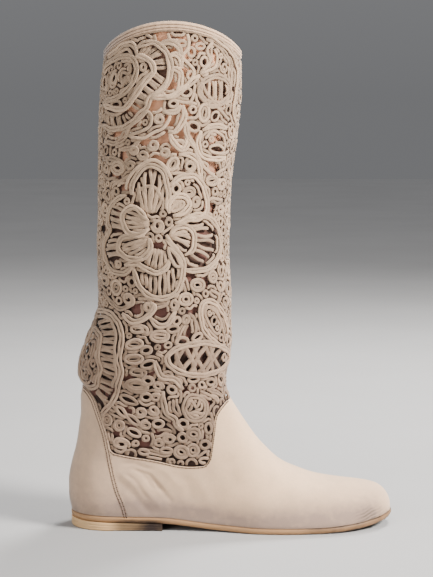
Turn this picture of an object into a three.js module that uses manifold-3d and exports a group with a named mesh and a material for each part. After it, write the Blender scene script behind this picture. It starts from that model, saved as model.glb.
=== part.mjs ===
// Right nubuck boot with an openwork shaft of sewn cord lace, on a thin leather sole with a low heel.
// Millimetres. +X points to the toe, +Z up, and -Y to the outer side of a right foot.
// The origin lies on the floor, under the middle of the boot's length.
import * as THREE from "three";
import { mergeVertices } from "three/addons/utils/BufferGeometryUtils.js";
import Module from "manifold-3d";

const wasm = await Module();
wasm.setup();

// Driving dimensions
const bootLength = 254; // back of the heel to the tip of the toe
const bootHeight = 391; // floor to the highest point of the topline, at the sides
const ankleHeight = 101; // floor to the top of the nubuck at the front of the ankle
const toplineDip = 20; // how far the topline falls from the sides to the front and back
const ballWidth = 88; // across the ball of the foot
const heelWidth = 61; // across the heel
const shaftDepth = 105; // shaft, front to back
const shaftWidth = 103; // shaft, side to side
const shaftSetback = 49; // the shaft's middle lies this far behind the origin
const toeInflare = 6; // the toe's tip leans this far to the inner side
const waistShift = 2.6; // the waist is cut in by this much more on the inner side
const outsoleThickness = 4.7;
const heelRise = 7.5; // the heel seat above the forefoot's tread
const toeSpring = 6.3;
const heelBreast = 53; // the heel ends this far behind the origin
const soleOverhang = 0.9; // the outsole's edge beyond the upper
const soleBevel = 1.1;
const heelInset = 0.7; // the heel's side inside the outsole's side
const upperWall = 1.8;
const laceWall = 2.2; // from the lace's inner face to the top of its raised cords
const laceGround = 1.5; // the lace between its raised cords
const counterWall = 0.9;
const bandHeight = 6; // the binding round the topline
const bandWall = 3;
const bandGap = 1; // upright, where the topline is steep
const insoleThickness = 2.4;
const cordHalf = 1.6; // half the width of a raised cord
const cordRoot = -1.2; // a raised cord's root below the skin, inside the ground
const clearance = 0.3; // between pieces that meet

// Smoothness of the faceted pieces
const footColumns = 36;
const laceColumns = 32; // also the collar band's

const smooth = (v) => {
  const c = Math.min(1, Math.max(0, v));
  return c * c * (3 - 2 * c);
};
const mix = (a, b, v) => a + (b - a) * v;
// A quarter circle's height, from 0 at the edge to 1 once v reaches 1
const quarterRound = (v) => Math.sqrt(Math.max(0, 1 - (1 - Math.min(1, Math.max(0, v))) ** 2));

// A smooth curve through rows, each [place, value], with no overshoot between them
function curveThrough(rows) {
  const steps = rows.slice(1).map((row, i) => (row[1] - rows[i][1]) / (row[0] - rows[i][0]));
  const slopes = rows.map((row, i) => {
    if (i === 0) return steps[0];
    if (i === rows.length - 1) return steps[i - 1];
    return steps[i - 1] * steps[i] <= 0 ? 0 : 2 / (1 / steps[i - 1] + 1 / steps[i]);
  });
  return (place) => {
    const p = Math.min(rows.at(-1)[0], Math.max(rows[0][0], place));
    let i = 0;
    while (i < rows.length - 2 && p > rows[i + 1][0]) i += 1;
    const span = rows[i + 1][0] - rows[i][0];
    const v = (p - rows[i][0]) / span;
    const low = rows[i][1] * (1 + 2 * v) * (1 - v) ** 2 + slopes[i] * span * v * (1 - v) ** 2;
    const high = rows[i + 1][1] * v * v * (3 - 2 * v) - slopes[i + 1] * span * v * v * (1 - v);
    return low + high;
  };
}
const column = (rows, key, scale) => rows.map((row) => [row[0], row[key] * scale]);

// The foot's back, seen from the side. Columns: height as a share of ankleHeight, place of the back as a
// share of bootLength, half width as a share of heelWidth, length of the back's rounding as a share of heelWidth
const footBackRows = [
  [0.1, -0.49, 0.478, 0.49],
  [0.25, -0.5, 0.505, 0.5],
  [0.35, -0.5, 0.505, 0.5],
  [0.44, -0.495, 0.5, 0.5],
  [0.535, -0.486, 0.498, 0.51],
  [0.63, -0.476, 0.505, 0.53],
  [0.72, -0.47, 0.52, 0.56],
  [0.81, -0.465, 0.54, 0.6],
  [0.9, -0.461, 0.565, 0.65],
  [1.0, -0.461, 0.595, 0.7],
];
// The shaft. Columns: height above the ankle as a share of the shaft's height, place of the back and of the
// front from the shaft's middle as shares of shaftDepth, half width as a share of shaftWidth
const shaftRows = [
  [0.03, -0.637, 0.438, 0.375],
  [0.065, -0.672, 0.44, 0.4],
  [0.1, -0.665, 0.462, 0.42],
  [0.13, -0.64, 0.468, 0.435],
  [0.165, -0.608, 0.478, 0.445],
  [0.2, -0.565, 0.474, 0.45],
  [0.26, -0.517, 0.473, 0.455],
  [0.38, -0.523, 0.458, 0.458],
  [0.48, -0.518, 0.461, 0.465],
  [0.6, -0.512, 0.478, 0.474],
  [0.71, -0.508, 0.52, 0.488],
  [0.84, -0.487, 0.547, 0.5],
  [0.91, -0.462, 0.542, 0.5],
  [1.0, -0.455, 0.54, 0.5],
];
// The line over the toe, vamp and instep. Columns: height as a share of ankleHeight, place as a share of bootLength
const dorsalRows = [
  [0.1, 0.5],
  [0.155, 0.499],
  [0.2, 0.494],
  [0.24, 0.485],
  [0.27, 0.474],
  [0.3, 0.455],
  [0.32, 0.425],
  [0.333, 0.39],
  [0.345, 0.35],
  [0.36, 0.31],
  [0.38, 0.27],
  [0.405, 0.238],
  [0.435, 0.208],
  [0.468, 0.177],
  [0.514, 0.147],
  [0.583, 0.117],
  [0.67, 0.085],
  [0.8, 0.048],
  [0.9, 0.022],
  [1.0, -0.001],
];
// The foot seen from below. Columns: place as a share of bootLength, half width as a share of ballWidth
const planRows = [
  [-0.2, 0.36],
  [-0.12, 0.37],
  [-0.04, 0.395],
  [0.04, 0.44],
  [0.12, 0.482],
  [0.19, 0.5],
  [0.26, 0.496],
];
const toeStart = 0.26; // where the toe's round begins, as a share of bootLength
const toeRoundPower = 2.1;
// The tread's rise. Columns: place as a share of bootLength, share of heelRise, share of toeSpring
const riseRows = [
  [-0.5, 1, 0],
  [-0.39, 0.9, 0],
  [-0.31, 0.82, 0],
  [-0.22, 0.77, 0],
  [-0.18, 0.7, 0],
  [-0.135, 0.52, 0],
  [-0.08, 0.3, 0],
  [-0.02, 0.13, 0],
  [0.05, 0.03, 0],
  [0.11, 0, 0],
  [0.26, 0, 0],
  [0.32, 0, 0.1],
  [0.38, 0, 0.28],
  [0.43, 0, 0.52],
  [0.47, 0, 0.76],
  [0.5, 0, 1],
];
// Where each ring of the upper starts at the back and ends at the front. Columns: height at the back and
// height at the front, as shares of ankleHeight
const ringRows = [
  [0.123, 0.112],
  [0.18, 0.16],
  [0.24, 0.215],
  [0.3, 0.268],
  [0.36, 0.308],
  [0.42, 0.33],
  [0.48, 0.345],
  [0.54, 0.363],
  [0.6, 0.396],
  [0.66, 0.445],
  [0.72, 0.515],
  [0.79, 0.615],
  [0.86, 0.735],
  [0.93, 0.865],
  [1.0, 1.0],
  [1.09, 1.09],
];
// The lace panel's lower edge, from the back of the heel to the front of the ankle. Columns: place as a
// share of bootLength, height as a share of ankleHeight
const panelRows = [
  [-0.56, 1.11],
  [-0.449, 1.09],
  [-0.418, 1.03],
  [-0.397, 0.9],
  [-0.376, 0.74],
  [-0.368, 0.645],
  [-0.355, 0.61],
  [-0.235, 0.553],
  [-0.125, 0.506],
  [-0.085, 0.512],
  [-0.066, 0.56],
  [-0.056, 0.7],
  [-0.046, 0.88],
  [-0.028, 0.95],
  [-0.006, 0.99],
  [0.08, 1.01],
];
// The counter's front edge below the panel, down to the sole. Columns as above
const counterRows = [
  [-0.361, 0.54],
  [-0.343, 0.34],
  [-0.32, 0.18],
  [-0.306, 0.0],
];

const shaftHeight = bootHeight - ankleHeight;
const rise = (() => {
  const heel = curveThrough(column(riseRows, 1, heelRise));
  const toe = curveThrough(column(riseRows, 2, toeSpring));
  return (x) => heel(x / bootLength) + toe(x / bootLength);
})();
const treadHeight = (x) => rise(x); // underside of the outsole
const outsoleTop = (x) => rise(x) + outsoleThickness;
const featherHeight = (x) => outsoleTop(x) + clearance; // lower edge of the upper

// Foot and shaft rows share one height scale, in millimetres
const heightRows = (() => {
  const foot = footBackRows.map((row) => ({
    z: row[0] * ankleHeight,
    back: row[1] * bootLength,
    half: row[2] * heelWidth,
    backRound: row[3] * heelWidth,
    frontRound: shaftDepth * 0.44,
  }));
  const shaft = shaftRows.map((row) => ({
    z: ankleHeight + row[0] * shaftHeight,
    back: row[1] * shaftDepth - shaftSetback,
    front: row[2] * shaftDepth - shaftSetback,
    half: row[3] * shaftWidth,
    backRound: ((row[2] - row[1]) / 2) * shaftDepth,
    frontRound: ((row[2] - row[1]) / 2) * shaftDepth,
  }));
  return [...foot, ...shaft];
})();
const byHeight = (key) => curveThrough(heightRows.map((row) => [row.z, row[key]]));
const backAt = byHeight("back");
const shaftHalf = byHeight("half");
const backRound = byHeight("backRound");
const frontRound = byHeight("frontRound");
const frontAt = curveThrough([
  ...dorsalRows.map((row) => [row[0] * ankleHeight, row[1] * bootLength]),
  ...heightRows.filter((row) => "front" in row).map((row) => [row.z, row.front]),
]);
// The dorsal line the other way round: its height over a place x in front of the ankle
const dorsalHeight = (x) => {
  let low = dorsalRows[0][0] * ankleHeight;
  let high = ankleHeight;
  const behind = frontAt(high) - x;
  if (behind >= 0) return high + 1.7 * behind + 0.05 * behind ** 2;
  for (let i = 0; i < 40; i += 1) {
    const middle = (low + high) / 2;
    if (frontAt(middle) > x) low = middle;
    else high = middle;
  }
  return (low + high) / 2;
};
const planHalf = (() => {
  const plan = curveThrough(planRows.map((row) => [row[0] * bootLength, row[1] * ballWidth]));
  const start = toeStart * bootLength;
  const end = bootLength / 2;
  return (x) => {
    const v = Math.min(1, Math.max(0, (x - start) / (end - start)));
    return plan(x) * Math.sqrt(1 - v ** toeRoundPower);
  };
})();
// Half the boot's width at a place x and height z: the foot in front from upright sections, heel and
// shaft from level ones, blended over the instep
const archPower = 2.3;
const archRound = 1.85;
function halfWidth(x, z) {
  const back = quarterRound((x - backAt(z)) / backRound(z));
  const front = quarterRound((frontAt(z) - x) / frontRound(z));
  const level = shaftHalf(z) * back * front;
  const share = smooth((x + 35) / 60) * smooth((ankleHeight - 3 - z) / 35);
  if (share === 0) return level;
  const top = dorsalHeight(x);
  const foot = featherHeight(x);
  const s = Math.min(1, Math.max(0, (z - foot) / (top - foot)));
  const upright = planHalf(x) * (1 - s ** archPower) ** (1 / archRound);
  return mix(level, upright, share);
}
// The last's curve: the middle line leans to the inner side at the toe and to the outer side at the waist
function middleLine(x, z) {
  const low = 1 - smooth((z - 30) / (ankleHeight - 30));
  const toe = toeInflare * smooth((x - bootLength * 0.05) / (bootLength * 0.45)) ** 1.3;
  const waist = waistShift * Math.exp(-(((x + 15) / 38) ** 2));
  return low * (toe - waist);
}

const ringBack = featherHeight(-bootLength / 2); // the lowest ring's height at the back
const frontOf = curveThrough([
  ...ringRows.map((row) => [row[0] * ankleHeight, row[1] * ankleHeight]),
  [bootHeight, bootHeight],
]);
const archStart = bootHeight - toplineDip - 75; // the topline's arch fades out downwards to here
const laceTop = bootHeight - toplineDip - bandHeight;

// A point of the boot's skin. Around runs from 0 at the back over the outer side to 180 degrees at the
// front and on over the inner side; up is the ring's height at the back. The lowest ring follows the
// sole, and the rings above it straighten out
const hugSole = (up) => (1 - smooth((up - ringBack) / (ankleHeight * 0.35))) ** 2;
function ringFront(up) {
  let x = frontAt(frontOf(up));
  for (let i = 0; i < 12; i += 1) {
    const z = mix(frontOf(up), featherHeight(x) + up - ringBack, hugSole(up));
    x = mix(x, frontAt(z), 0.7);
  }
  return x;
}
function skinPoint(around, up) {
  const share = (1 - Math.cos(around)) / 2;
  const x = mix(backAt(up), ringFront(up), share);
  let z = mix(mix(up, frontOf(up), share), featherHeight(x) + up - ringBack, hugSole(up));
  const arch = Math.abs(Math.sin(around)) ** 1.4 * toplineDip;
  z += arch * smooth((up - archStart) / (bootHeight - toplineDip - archStart));
  const side = Math.sin(around) >= 0 ? -1 : 1;
  const half = Math.abs(Math.sin(around)) < 1e-9 ? 0 : halfWidth(x, z);
  return new THREE.Vector3(x, middleLine(x, z) + side * half, z);
}
function skinNormal(around, up) {
  const turn = 0.02;
  const high = Math.min(up + 0.8, bootHeight);
  const low = Math.max(up - 0.8, ringBack);
  const across = skinPoint(around + turn, up).sub(skinPoint(around - turn, up));
  const along = skinPoint(around, high).sub(skinPoint(around, low));
  return across.cross(along).normalize();
}
const skinAt = (around, up, out) => skinPoint(around, up).addScaledVector(skinNormal(around, up), out);
// The place on the skin seen at x and z from the outer side, or from the inner side
function skinSpot(x, z, inner) {
  let up = z;
  let share = 0.5;
  for (let i = 0; i < 30; i += 1) {
    const back = backAt(up);
    const front = ringFront(up);
    share = Math.min(0.9999, Math.max(0.0001, (x - back) / (front - back)));
    const around = Math.acos(1 - 2 * share);
    up += (z - skinPoint(around, up).z) * 0.8;
  }
  const around = Math.acos(1 - 2 * share);
  return { around: inner ? 2 * Math.PI - around : around, up };
}

// Closed bodies
function solid(points, faces) {
  const geometry = new THREE.BufferGeometry();
  geometry.setAttribute("position", new THREE.Float32BufferAttribute(points.flatMap((p) => p.toArray()), 3));
  geometry.setIndex(faces.flat());
  const merged = mergeVertices(geometry, 1e-4);
  const mesh = new wasm.Mesh({
    numProp: 3,
    vertProperties: merged.attributes.position.array,
    triVerts: Uint32Array.from(merged.index.array),
  });
  return new wasm.Manifold(mesh);
}
// A body through loops of points, each loop seen counter-clockwise from where the next one lies
function loft(loops, closedEnds = true) {
  const count = loops[0].length;
  const points = loops.flat();
  const faces = [];
  const last = closedEnds ? loops.length - 1 : loops.length;
  for (let j = 0; j < last; j += 1) {
    for (let i = 0; i < count; i += 1) {
      const a = j * count + i;
      const b = j * count + ((i + 1) % count);
      const c = ((j + 1) % loops.length) * count + i;
      const d = ((j + 1) % loops.length) * count + ((i + 1) % count);
      // The shorter diagonal keeps slanting rows smooth
      const straight = points[a].distanceTo(points[d]) <= points[b].distanceTo(points[c]);
      if (straight) faces.push([a, b, d], [a, d, c]);
      else faces.push([a, b, c], [b, d, c]);
    }
  }
  if (closedEnds) {
    const top = (loops.length - 1) * count;
    // Each end is closed by strips between its two sides, so long ends stay well shaped
    for (let i = 0; i < count / 2; i += 1) {
      const a = i;
      const b = (i + 1) % count;
      const c = (count - i) % count;
      const d = (count - i - 1 + count) % count;
      if (b !== d) faces.push([b, a, d], [top + a, top + b, top + d]);
      if (a !== c) faces.push([a, c, d], [top + a, top + d, top + c]);
    }
  }
  return solid(points, faces);
}
const turns = (count) => Array.from({ length: count }, (_, i) => (2 * Math.PI * i) / count);
const skinLoop = (count, up, out) => turns(count).map((around) => skinAt(around, up, out));
function skinBody(count, heights, out, below, above) {
  const loops = heights.map((up) => skinLoop(count, up, out));
  const shift = (loop, z) => loop.map((p) => p.clone().add(new THREE.Vector3(0, 0, z)));
  if (below > 0) loops.unshift(shift(loops[0], -below));
  if (above > 0) loops.push(shift(loops.at(-1), above));
  return loft(loops);
}
// Everything over a side view line, cut straight through both sides. Raised moves the line along its normal
function aboveLine(rows, raised) {
  const line = rows.map((row) => new THREE.Vector2(row[0] * bootLength, row[1] * ankleHeight));
  const moved = line.map((point, i) => {
    const from = line[Math.max(0, i - 1)];
    const to = line[Math.min(line.length - 1, i + 1)];
    const along = to.clone().sub(from).normalize();
    return point.clone().add(new THREE.Vector2(-along.y, along.x).multiplyScalar(raised));
  });
  return moved;
}
function sidePrism(outline) {
  const clockwise = THREE.ShapeUtils.isClockWise(outline);
  const ring = clockwise ? outline.slice().reverse() : outline;
  const faces = THREE.ShapeUtils.triangulateShape(ring, []);
  const points = [
    ...ring.map((p) => new THREE.Vector3(p.x, -90, p.y)),
    ...ring.map((p) => new THREE.Vector3(p.x, 90, p.y)),
  ];
  const n = ring.length;
  const sides = ring.flatMap((_, i) => {
    const j = (i + 1) % n;
    return [
      [i, n + j, j],
      [i, n + i, n + j],
    ];
  });
  const near = faces.map(([a, b, c]) => [a, b, c]);
  const far = faces.map(([a, b, c]) => [n + a, n + c, n + b]);
  return solid(points, [...near, ...far, ...sides]);
}
const high = bootHeight + 30;
const panelSide = (raised) => {
  const line = aboveLine(panelRows, raised);
  return sidePrism([...line, new THREE.Vector2(60, high), new THREE.Vector2(-160, high)]);
};

// Upper: the vamp and quarters in one wall, with the counter as a thicker part of it
const upperHeights = ringRows.map((row) => row[0] * ankleHeight);
upperHeights[0] = ringBack;
const footOut = skinBody(footColumns, upperHeights, 0, 0, 0);
const footIn = skinBody(footColumns, upperHeights, -upperWall, 20, 20);
const counterLine = [
  ...aboveLine([...panelRows.slice(1, 6), ...counterRows], 0.4),
  new THREE.Vector2(-0.306 * bootLength, -10),
  new THREE.Vector2(-160, -10),
  new THREE.Vector2(-160, 1.2 * ankleHeight),
];
const counterOut = skinBody(footColumns, upperHeights, counterWall, 0, 0);
const counter = counterOut.intersect(sidePrism(counterLine));
const upper = footOut.add(counter).subtract(footIn).subtract(panelSide(-clearance / 2));

// Shaft: the lace wall, its gaps and its raised outlines
// Gaps seen from the outer side. Columns: x, z, half length, half height, lean in degrees, and 1 where the
// same gap is also cut on the inner side
const gapRows = [
  [-52, 379, 4.8, 2.7, 10, 0],
  [-37, 376.5, 3.0, 1.8, 20, 0],
  [-23, 372, 3.2, 2.6, 0, 0],
  [-44, 369, 2.9, 2.1, 0, 0],
  [-32, 366, 3.6, 3.6, 0, 1],
  [-11, 363, 3.0, 3.9, 30, 1],
  [-34, 353, 3.6, 3.8, 0, 1],
  [-10, 347, 3.5, 2.1, 0, 0],
  [-45, 344, 4.6, 4.0, 0, 1],
  [-57, 330, 5.6, 6.4, 0, 1],
  [-6, 330, 4.0, 2.7, 0, 0],
  [-34, 329, 3.0, 3.0, 0, 0],
  [-75, 327, 4.0, 1.9, 0, 0],
  [-72, 316, 4.0, 3.1, 40, 1],
  [-45, 317, 3.3, 4.2, 0, 1],
  [-33, 319, 3.2, 2.3, 0, 0],
  [-37, 309, 3.4, 4.6, -20, 1],
  [-87, 307, 4.8, 2.1, 0, 0],
  [-27, 306, 2.8, 3.3, 0, 0],
  [-50, 304, 4.2, 2.3, 35, 0],
  [-9, 304, 4.2, 3.4, 0, 1],
  [-66, 302, 5.0, 2.4, 20, 1],
  [-41, 296, 4.6, 3.1, -20, 1],
  [-81, 291, 3.0, 3.9, 0, 1],
  [-54, 289, 5.4, 2.3, -15, 1],
  [-12, 282, 6.0, 3.5, -20, 1],
  [-91, 276, 3.4, 3.9, 0, 1],
  [-82, 267, 2.7, 3.4, -30, 0],
  [-14, 251, 4.2, 3.9, 20, 1],
  [-87, 246, 3.3, 1.9, 0, 0],
  [-98, 234, 4.2, 3.1, 0, 1],
  [-21, 229.5, 4.6, 1.7, -5, 0],
  [-56, 224, 3.9, 1.7, 0, 0],
  [-19, 215, 3.6, 2.1, 0, 0],
  [-31, 200, 5.0, 2.4, 0, 1],
  [-82, 199, 4.2, 2.1, 30, 0],
  [-18, 195, 3.0, 3.9, 0, 1],
  [-55, 181.5, 4.6, 1.3, 0, 0],
  [-72, 175, 5.2, 4.8, 0, 1],
  [-53, 173, 6.2, 3.8, 0, 1],
  [-27, 173, 2.8, 3.7, -20, 1],
  [-32, 157, 2.5, 4.8, 0, 1],
  [-52, 144, 2.1, 2.1, 0, 0],
  [-30, 142, 3.0, 2.7, 0, 1],
  [-20, 141, 2.1, 2.9, 0, 0],
  [-26, 132, 2.7, 2.9, 0, 0],
  [-17, 131, 2.2, 2.7, 0, 0],
  [-60, 125, 2.5, 2.7, 0, 1],
  [-80, 120, 3.8, 4.2, 0, 1],
  [-25, 105, 3.4, 1.6, -10, 0],
  [-15, 101, 2.1, 2.1, 0, 0],
  [-79, 96, 4.4, 1.5, -30, 0],
  [-96, 93, 2.6, 2.4, 0, 0],
  [-76, 83, 3.5, 1.7, -20, 0],
  [-42, 82, 3.4, 1.9, -35, 1],
  [-56, 77, 3.9, 1.9, 20, 0],
  [-88, 77, 3.6, 2.6, 0, 1],
  [-20, 75, 2.2, 2.6, 0, 1],
  [-66, 68, 3.4, 2.3, 0, 0],
];
// The lace's larger cords, raised from its ground. Rows of x, z; the first ones are on both sides
const cordLines = [
  [[-93, 360], [-81, 365], [-72, 355], [-79, 341], [-93, 336]],
  [[-70, 371], [-57, 373], [-49, 355], [-65, 335], [-92, 312]],
  [[-77, 262], [-71, 277], [-60, 283], [-49, 275]],
  [[-79, 260], [-92, 250], [-95, 222], [-90, 206], [-78, 206]],
  [[-73, 206], [-68, 192], [-55, 185], [-42, 190], [-38, 216]],
  [[-36, 242], [-22, 245], [-11, 230], [-18, 207], [-34, 206]],
  [[-99, 172], [-87, 168], [-84, 140], [-87, 114]],
  [[-13, 150], [-31, 149], [-49, 138], [-36, 126], [-13, 125]],
  [[-46, 271], [-36, 277], [-23, 272], [-20, 255]],
  [[-7, 289], [-21, 292], [-16, 310]],
  [[-71, 252], [-82, 244], [-66, 231]],
  [[-103, 154], [-101, 128], [-109, 114]],
  [[-29, 105], [-36, 95], [-20, 88]],
];
const cordsOnBothSides = 1;
const laceHeights = [49, 58, 68, 78, 88, 98, 108, 118, 132, 150, 174, 235, 305, 335, laceTop];
const laceOut = skinBody(laceColumns, laceHeights, 0, 0, 0);
const laceIn = skinBody(laceColumns, laceHeights, -laceGround, 5, 5);
function gapBody([x, z, halfLength, halfHeight, lean], inner) {
  const { around, up } = skinSpot(x, z, inner);
  const middle = skinPoint(around, up);
  const normal = skinNormal(around, up);
  const level = new THREE.Vector3(0, 0, 1).cross(normal).normalize().multiplyScalar(inner ? -1 : 1);
  const upward = new THREE.Vector3(0, 0, 1).addScaledVector(normal, -normal.z).normalize();
  const turn = (lean * Math.PI) / 180;
  const gapSides = halfLength + halfHeight > 7 ? 6 : 4;
  const ring = turns(gapSides).map((angle) => {
    const p = halfLength * Math.cos(angle);
    const q = halfHeight * Math.sin(angle);
    const along = p * Math.cos(turn) - q * Math.sin(turn);
    const over = p * Math.sin(turn) + q * Math.cos(turn);
    return middle.clone().addScaledVector(level, along).addScaledVector(upward, over);
  });
  if (inner) ring.reverse();
  const shift = (out) => ring.map((p) => p.clone().addScaledVector(normal, out));
  return loft([shift(-6), shift(4)]);
}
function cordBody(line, inner) {
  const spots = line.map(([x, z]) => skinSpot(x, z, inner));
  const middles = spots.map(({ around, up }) => skinPoint(around, up));
  const loops = spots.map(({ around, up }, i) => {
    const normal = skinNormal(around, up);
    const along = middles[Math.min(i + 1, spots.length - 1)].clone().sub(middles[Math.max(i - 1, 0)]);
    const aside = normal.clone().cross(along).normalize();
    const corner = (side, out) =>
      middles[i].clone().addScaledVector(aside, side * cordHalf).addScaledVector(normal, out);
    const raised = laceWall - laceGround;
    return [corner(-1, cordRoot), corner(1, cordRoot), corner(0.7, raised), corner(-0.7, raised)];
  });
  return loft(loops);
}
let shaft = laceOut.subtract(laceIn);
cordLines.forEach((line, i) => {
  shaft = shaft.add(cordBody(line, false));
  if (i < cordsOnBothSides) shaft = shaft.add(cordBody(line, true));
});
for (const row of gapRows) {
  shaft = shaft.subtract(gapBody(row, false));
  if (row[5] === 1) shaft = shaft.subtract(gapBody(row, true));
}
shaft = shaft.intersect(panelSide(clearance / 2));

// Collar band: the binding round the topline
const bandTop = bootHeight - toplineDip;
const bandSection = [
  [1.0 - bandWall, laceTop + bandGap],
  [1.0 - bandWall, bandTop - 0.9],
  [-1.2, bandTop],
  [0.2, bandTop],
  [1.0, bandTop - 0.9],
  [1.0, laceTop + bandGap],
];
// The topline's height over a place x, the same through the wall's thickness
function toplineHeight(up, x) {
  const line = turns(laceColumns).slice(0, laceColumns / 2 + 1);
  const points = line.map((around) => skinPoint(around, up));
  const i = Math.min(points.length - 2, Math.max(0, points.findIndex((p) => p.x > x) - 1));
  const j = x > points.at(-1).x ? points.length - 2 : i;
  const share = (x - points[j].x) / (points[j + 1].x - points[j].x);
  return mix(points[j].z, points[j + 1].z, Math.min(1, Math.max(0, share)));
}
const bandPoint = (around, up, out) => {
  const p = skinAt(around, up, out);
  return p.setZ(toplineHeight(up, p.x));
};
const band = loft(
  turns(laceColumns).map((around) => bandSection.map(([out, up]) => bandPoint(around, up, out))),
  false,
);

// Sole parts: an outline seen from below, set out from the lowest ring, in layers over the tread
const outlineAt = (out) =>
  turns(footColumns).map((around) => {
    const here = skinPoint(around, ringBack);
    const along = skinPoint(around + 0.05, ringBack).sub(skinPoint(around - 0.05, ringBack));
    const outward = new THREE.Vector3(along.y, -along.x, 0).normalize();
    return here.addScaledVector(outward, out);
  });
const layer = (outline, lift) => outline.map((p) => new THREE.Vector3(p.x, p.y, rise(p.x) + lift));
const outsole = loft([
  layer(outlineAt(soleOverhang - soleBevel), 0),
  layer(outlineAt(soleOverhang), soleBevel),
  layer(outlineAt(soleOverhang), outsoleThickness),
]);
const insoleBottom = outsoleThickness + clearance;
const insoleEdge = -upperWall - 0.6;
const insole = loft([
  layer(outlineAt(insoleEdge), insoleBottom),
  layer(outlineAt(insoleEdge), insoleBottom + insoleThickness),
]);
const heelSlab = loft([
  outlineAt(soleOverhang - heelInset - 0.8).map((p) => new THREE.Vector3(p.x, p.y, 0)),
  outlineAt(soleOverhang - heelInset).map((p) => new THREE.Vector3(p.x, p.y, 0.8)),
  layer(outlineAt(soleOverhang - heelInset), -clearance).map((p) => p.setZ(Math.max(p.z, 0.9))),
]);
const breast = sidePrism([
  new THREE.Vector2(-160, -20),
  new THREE.Vector2(-heelBreast, -20),
  new THREE.Vector2(-heelBreast, 40),
  new THREE.Vector2(-160, 40),
]);
const heelLift = heelSlab.intersect(breast);

const group = new THREE.Group();
function addPart(name, body, colour) {
  const mesh = body.getMesh();
  const geometry = new THREE.BufferGeometry();
  geometry.setAttribute("position", new THREE.BufferAttribute(mesh.vertProperties, 3));
  geometry.setIndex(new THREE.BufferAttribute(mesh.triVerts, 1));
  geometry.computeVertexNormals();
  const part = new THREE.Mesh(geometry, new THREE.MeshStandardMaterial({ color: colour, roughness: 0.9 }));
  part.name = name;
  group.add(part);
}
addPart("upper", upper, 0xd8c7b6);
addPart("shaft", shaft, 0xe3d3c2);
addPart("collar_band", band, 0xdccbb9);
addPart("insole", insole, 0xc9a988);
addPart("outsole", outsole, 0xc8a57a);
addPart("heel_lift", heelLift, 0xb98f62);

export default group;
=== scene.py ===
# %% [markdown]
# # A nubuck boot with a shaft of sewn cord lace
#
# The boot stands empty on its sole, toe to the right. Below the ankle it is plain nubuck, and above
# the ankle its shaft is a lace of thin nubuck cords, sewn to each other round petals, fans and rings.
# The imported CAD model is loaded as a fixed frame, and each of its six pieces gets a dressed piece.
# All the shapes are worked out in millimetres and put into Blender in metres.

# %% Load the frame
import bpy
import numpy as np
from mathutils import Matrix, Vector


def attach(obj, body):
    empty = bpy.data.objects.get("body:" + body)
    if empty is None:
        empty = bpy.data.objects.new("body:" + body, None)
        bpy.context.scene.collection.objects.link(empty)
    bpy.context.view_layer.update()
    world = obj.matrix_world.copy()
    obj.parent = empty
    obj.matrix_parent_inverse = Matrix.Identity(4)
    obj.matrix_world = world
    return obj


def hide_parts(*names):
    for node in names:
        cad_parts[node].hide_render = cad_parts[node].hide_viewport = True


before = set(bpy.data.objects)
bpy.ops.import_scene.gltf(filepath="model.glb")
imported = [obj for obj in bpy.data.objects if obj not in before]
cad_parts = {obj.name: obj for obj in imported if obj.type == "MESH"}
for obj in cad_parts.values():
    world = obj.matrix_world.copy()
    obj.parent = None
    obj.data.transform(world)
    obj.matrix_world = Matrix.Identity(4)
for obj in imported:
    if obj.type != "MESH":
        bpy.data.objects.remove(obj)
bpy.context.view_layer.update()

# %% [markdown]
# ## The camera, the floor and the light
#
# The camera stands to the outer side of the boot, at the height of the upper lace, and far enough away that
# the boot is seen almost flat. A long lens from 1.4 m does this. The camera could be aimed with a
# constraint, but a plain rotation is simpler, and it stays put when other views are taken.

# %% Camera
camera_data = bpy.data.cameras.new("portrait_lens")
camera_data.sensor_fit = "VERTICAL"
camera_data.sensor_height = 36
camera_data.lens = 112.4
camera_data.dof.use_dof = False
camera = bpy.data.objects.new("camera", camera_data)
camera.location = (-0.0109, -1.4, 0.335)
aim = Vector((-0.0109, 0.0, 0.1861)) - camera.location
camera.rotation_euler = aim.to_track_quat("-Z", "Y").to_euler()
bpy.context.scene.collection.objects.link(camera)
bpy.context.scene.camera = camera
print("camera at", tuple(round(v, 3) for v in camera.location))

# %% [markdown]
# The light is a studio's: a soft box in front and to the right, where the toe is lit first, a wider and
# weaker one from the left, one from behind that draws the shaft's edge, and a pale room. Large areas give
# the nubuck its soft shading and leave the lace's holes dark. The room is dimmer low down, so that it
# meets the floor without a line.

# %% Light
def soft_box(name, place, target, size, power, colour):
    data = bpy.data.lights.new(name, "AREA")
    data.shape = "DISK"
    data.size = size
    data.energy = power
    data.color = colour
    box = bpy.data.objects.new(name, data)
    box.location = place
    box.rotation_euler = (Vector(target) - Vector(place)).to_track_quat("-Z", "Y").to_euler()
    bpy.context.scene.collection.objects.link(box)


soft_box("key_light", (1.25, -0.72, 1.15), (0, 0, 0.18), 0.6, 86, (1.0, 0.965, 0.925))
soft_box("fill_light", (-1.2, -1.4, 0.9), (0, 0, 0.2), 1.3, 18, (0.95, 0.97, 1.0))
soft_box("rim_light", (0.45, 0.85, 1.15), (0, 0, 0.15), 0.5, 34, (1.0, 0.98, 0.96))

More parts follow.
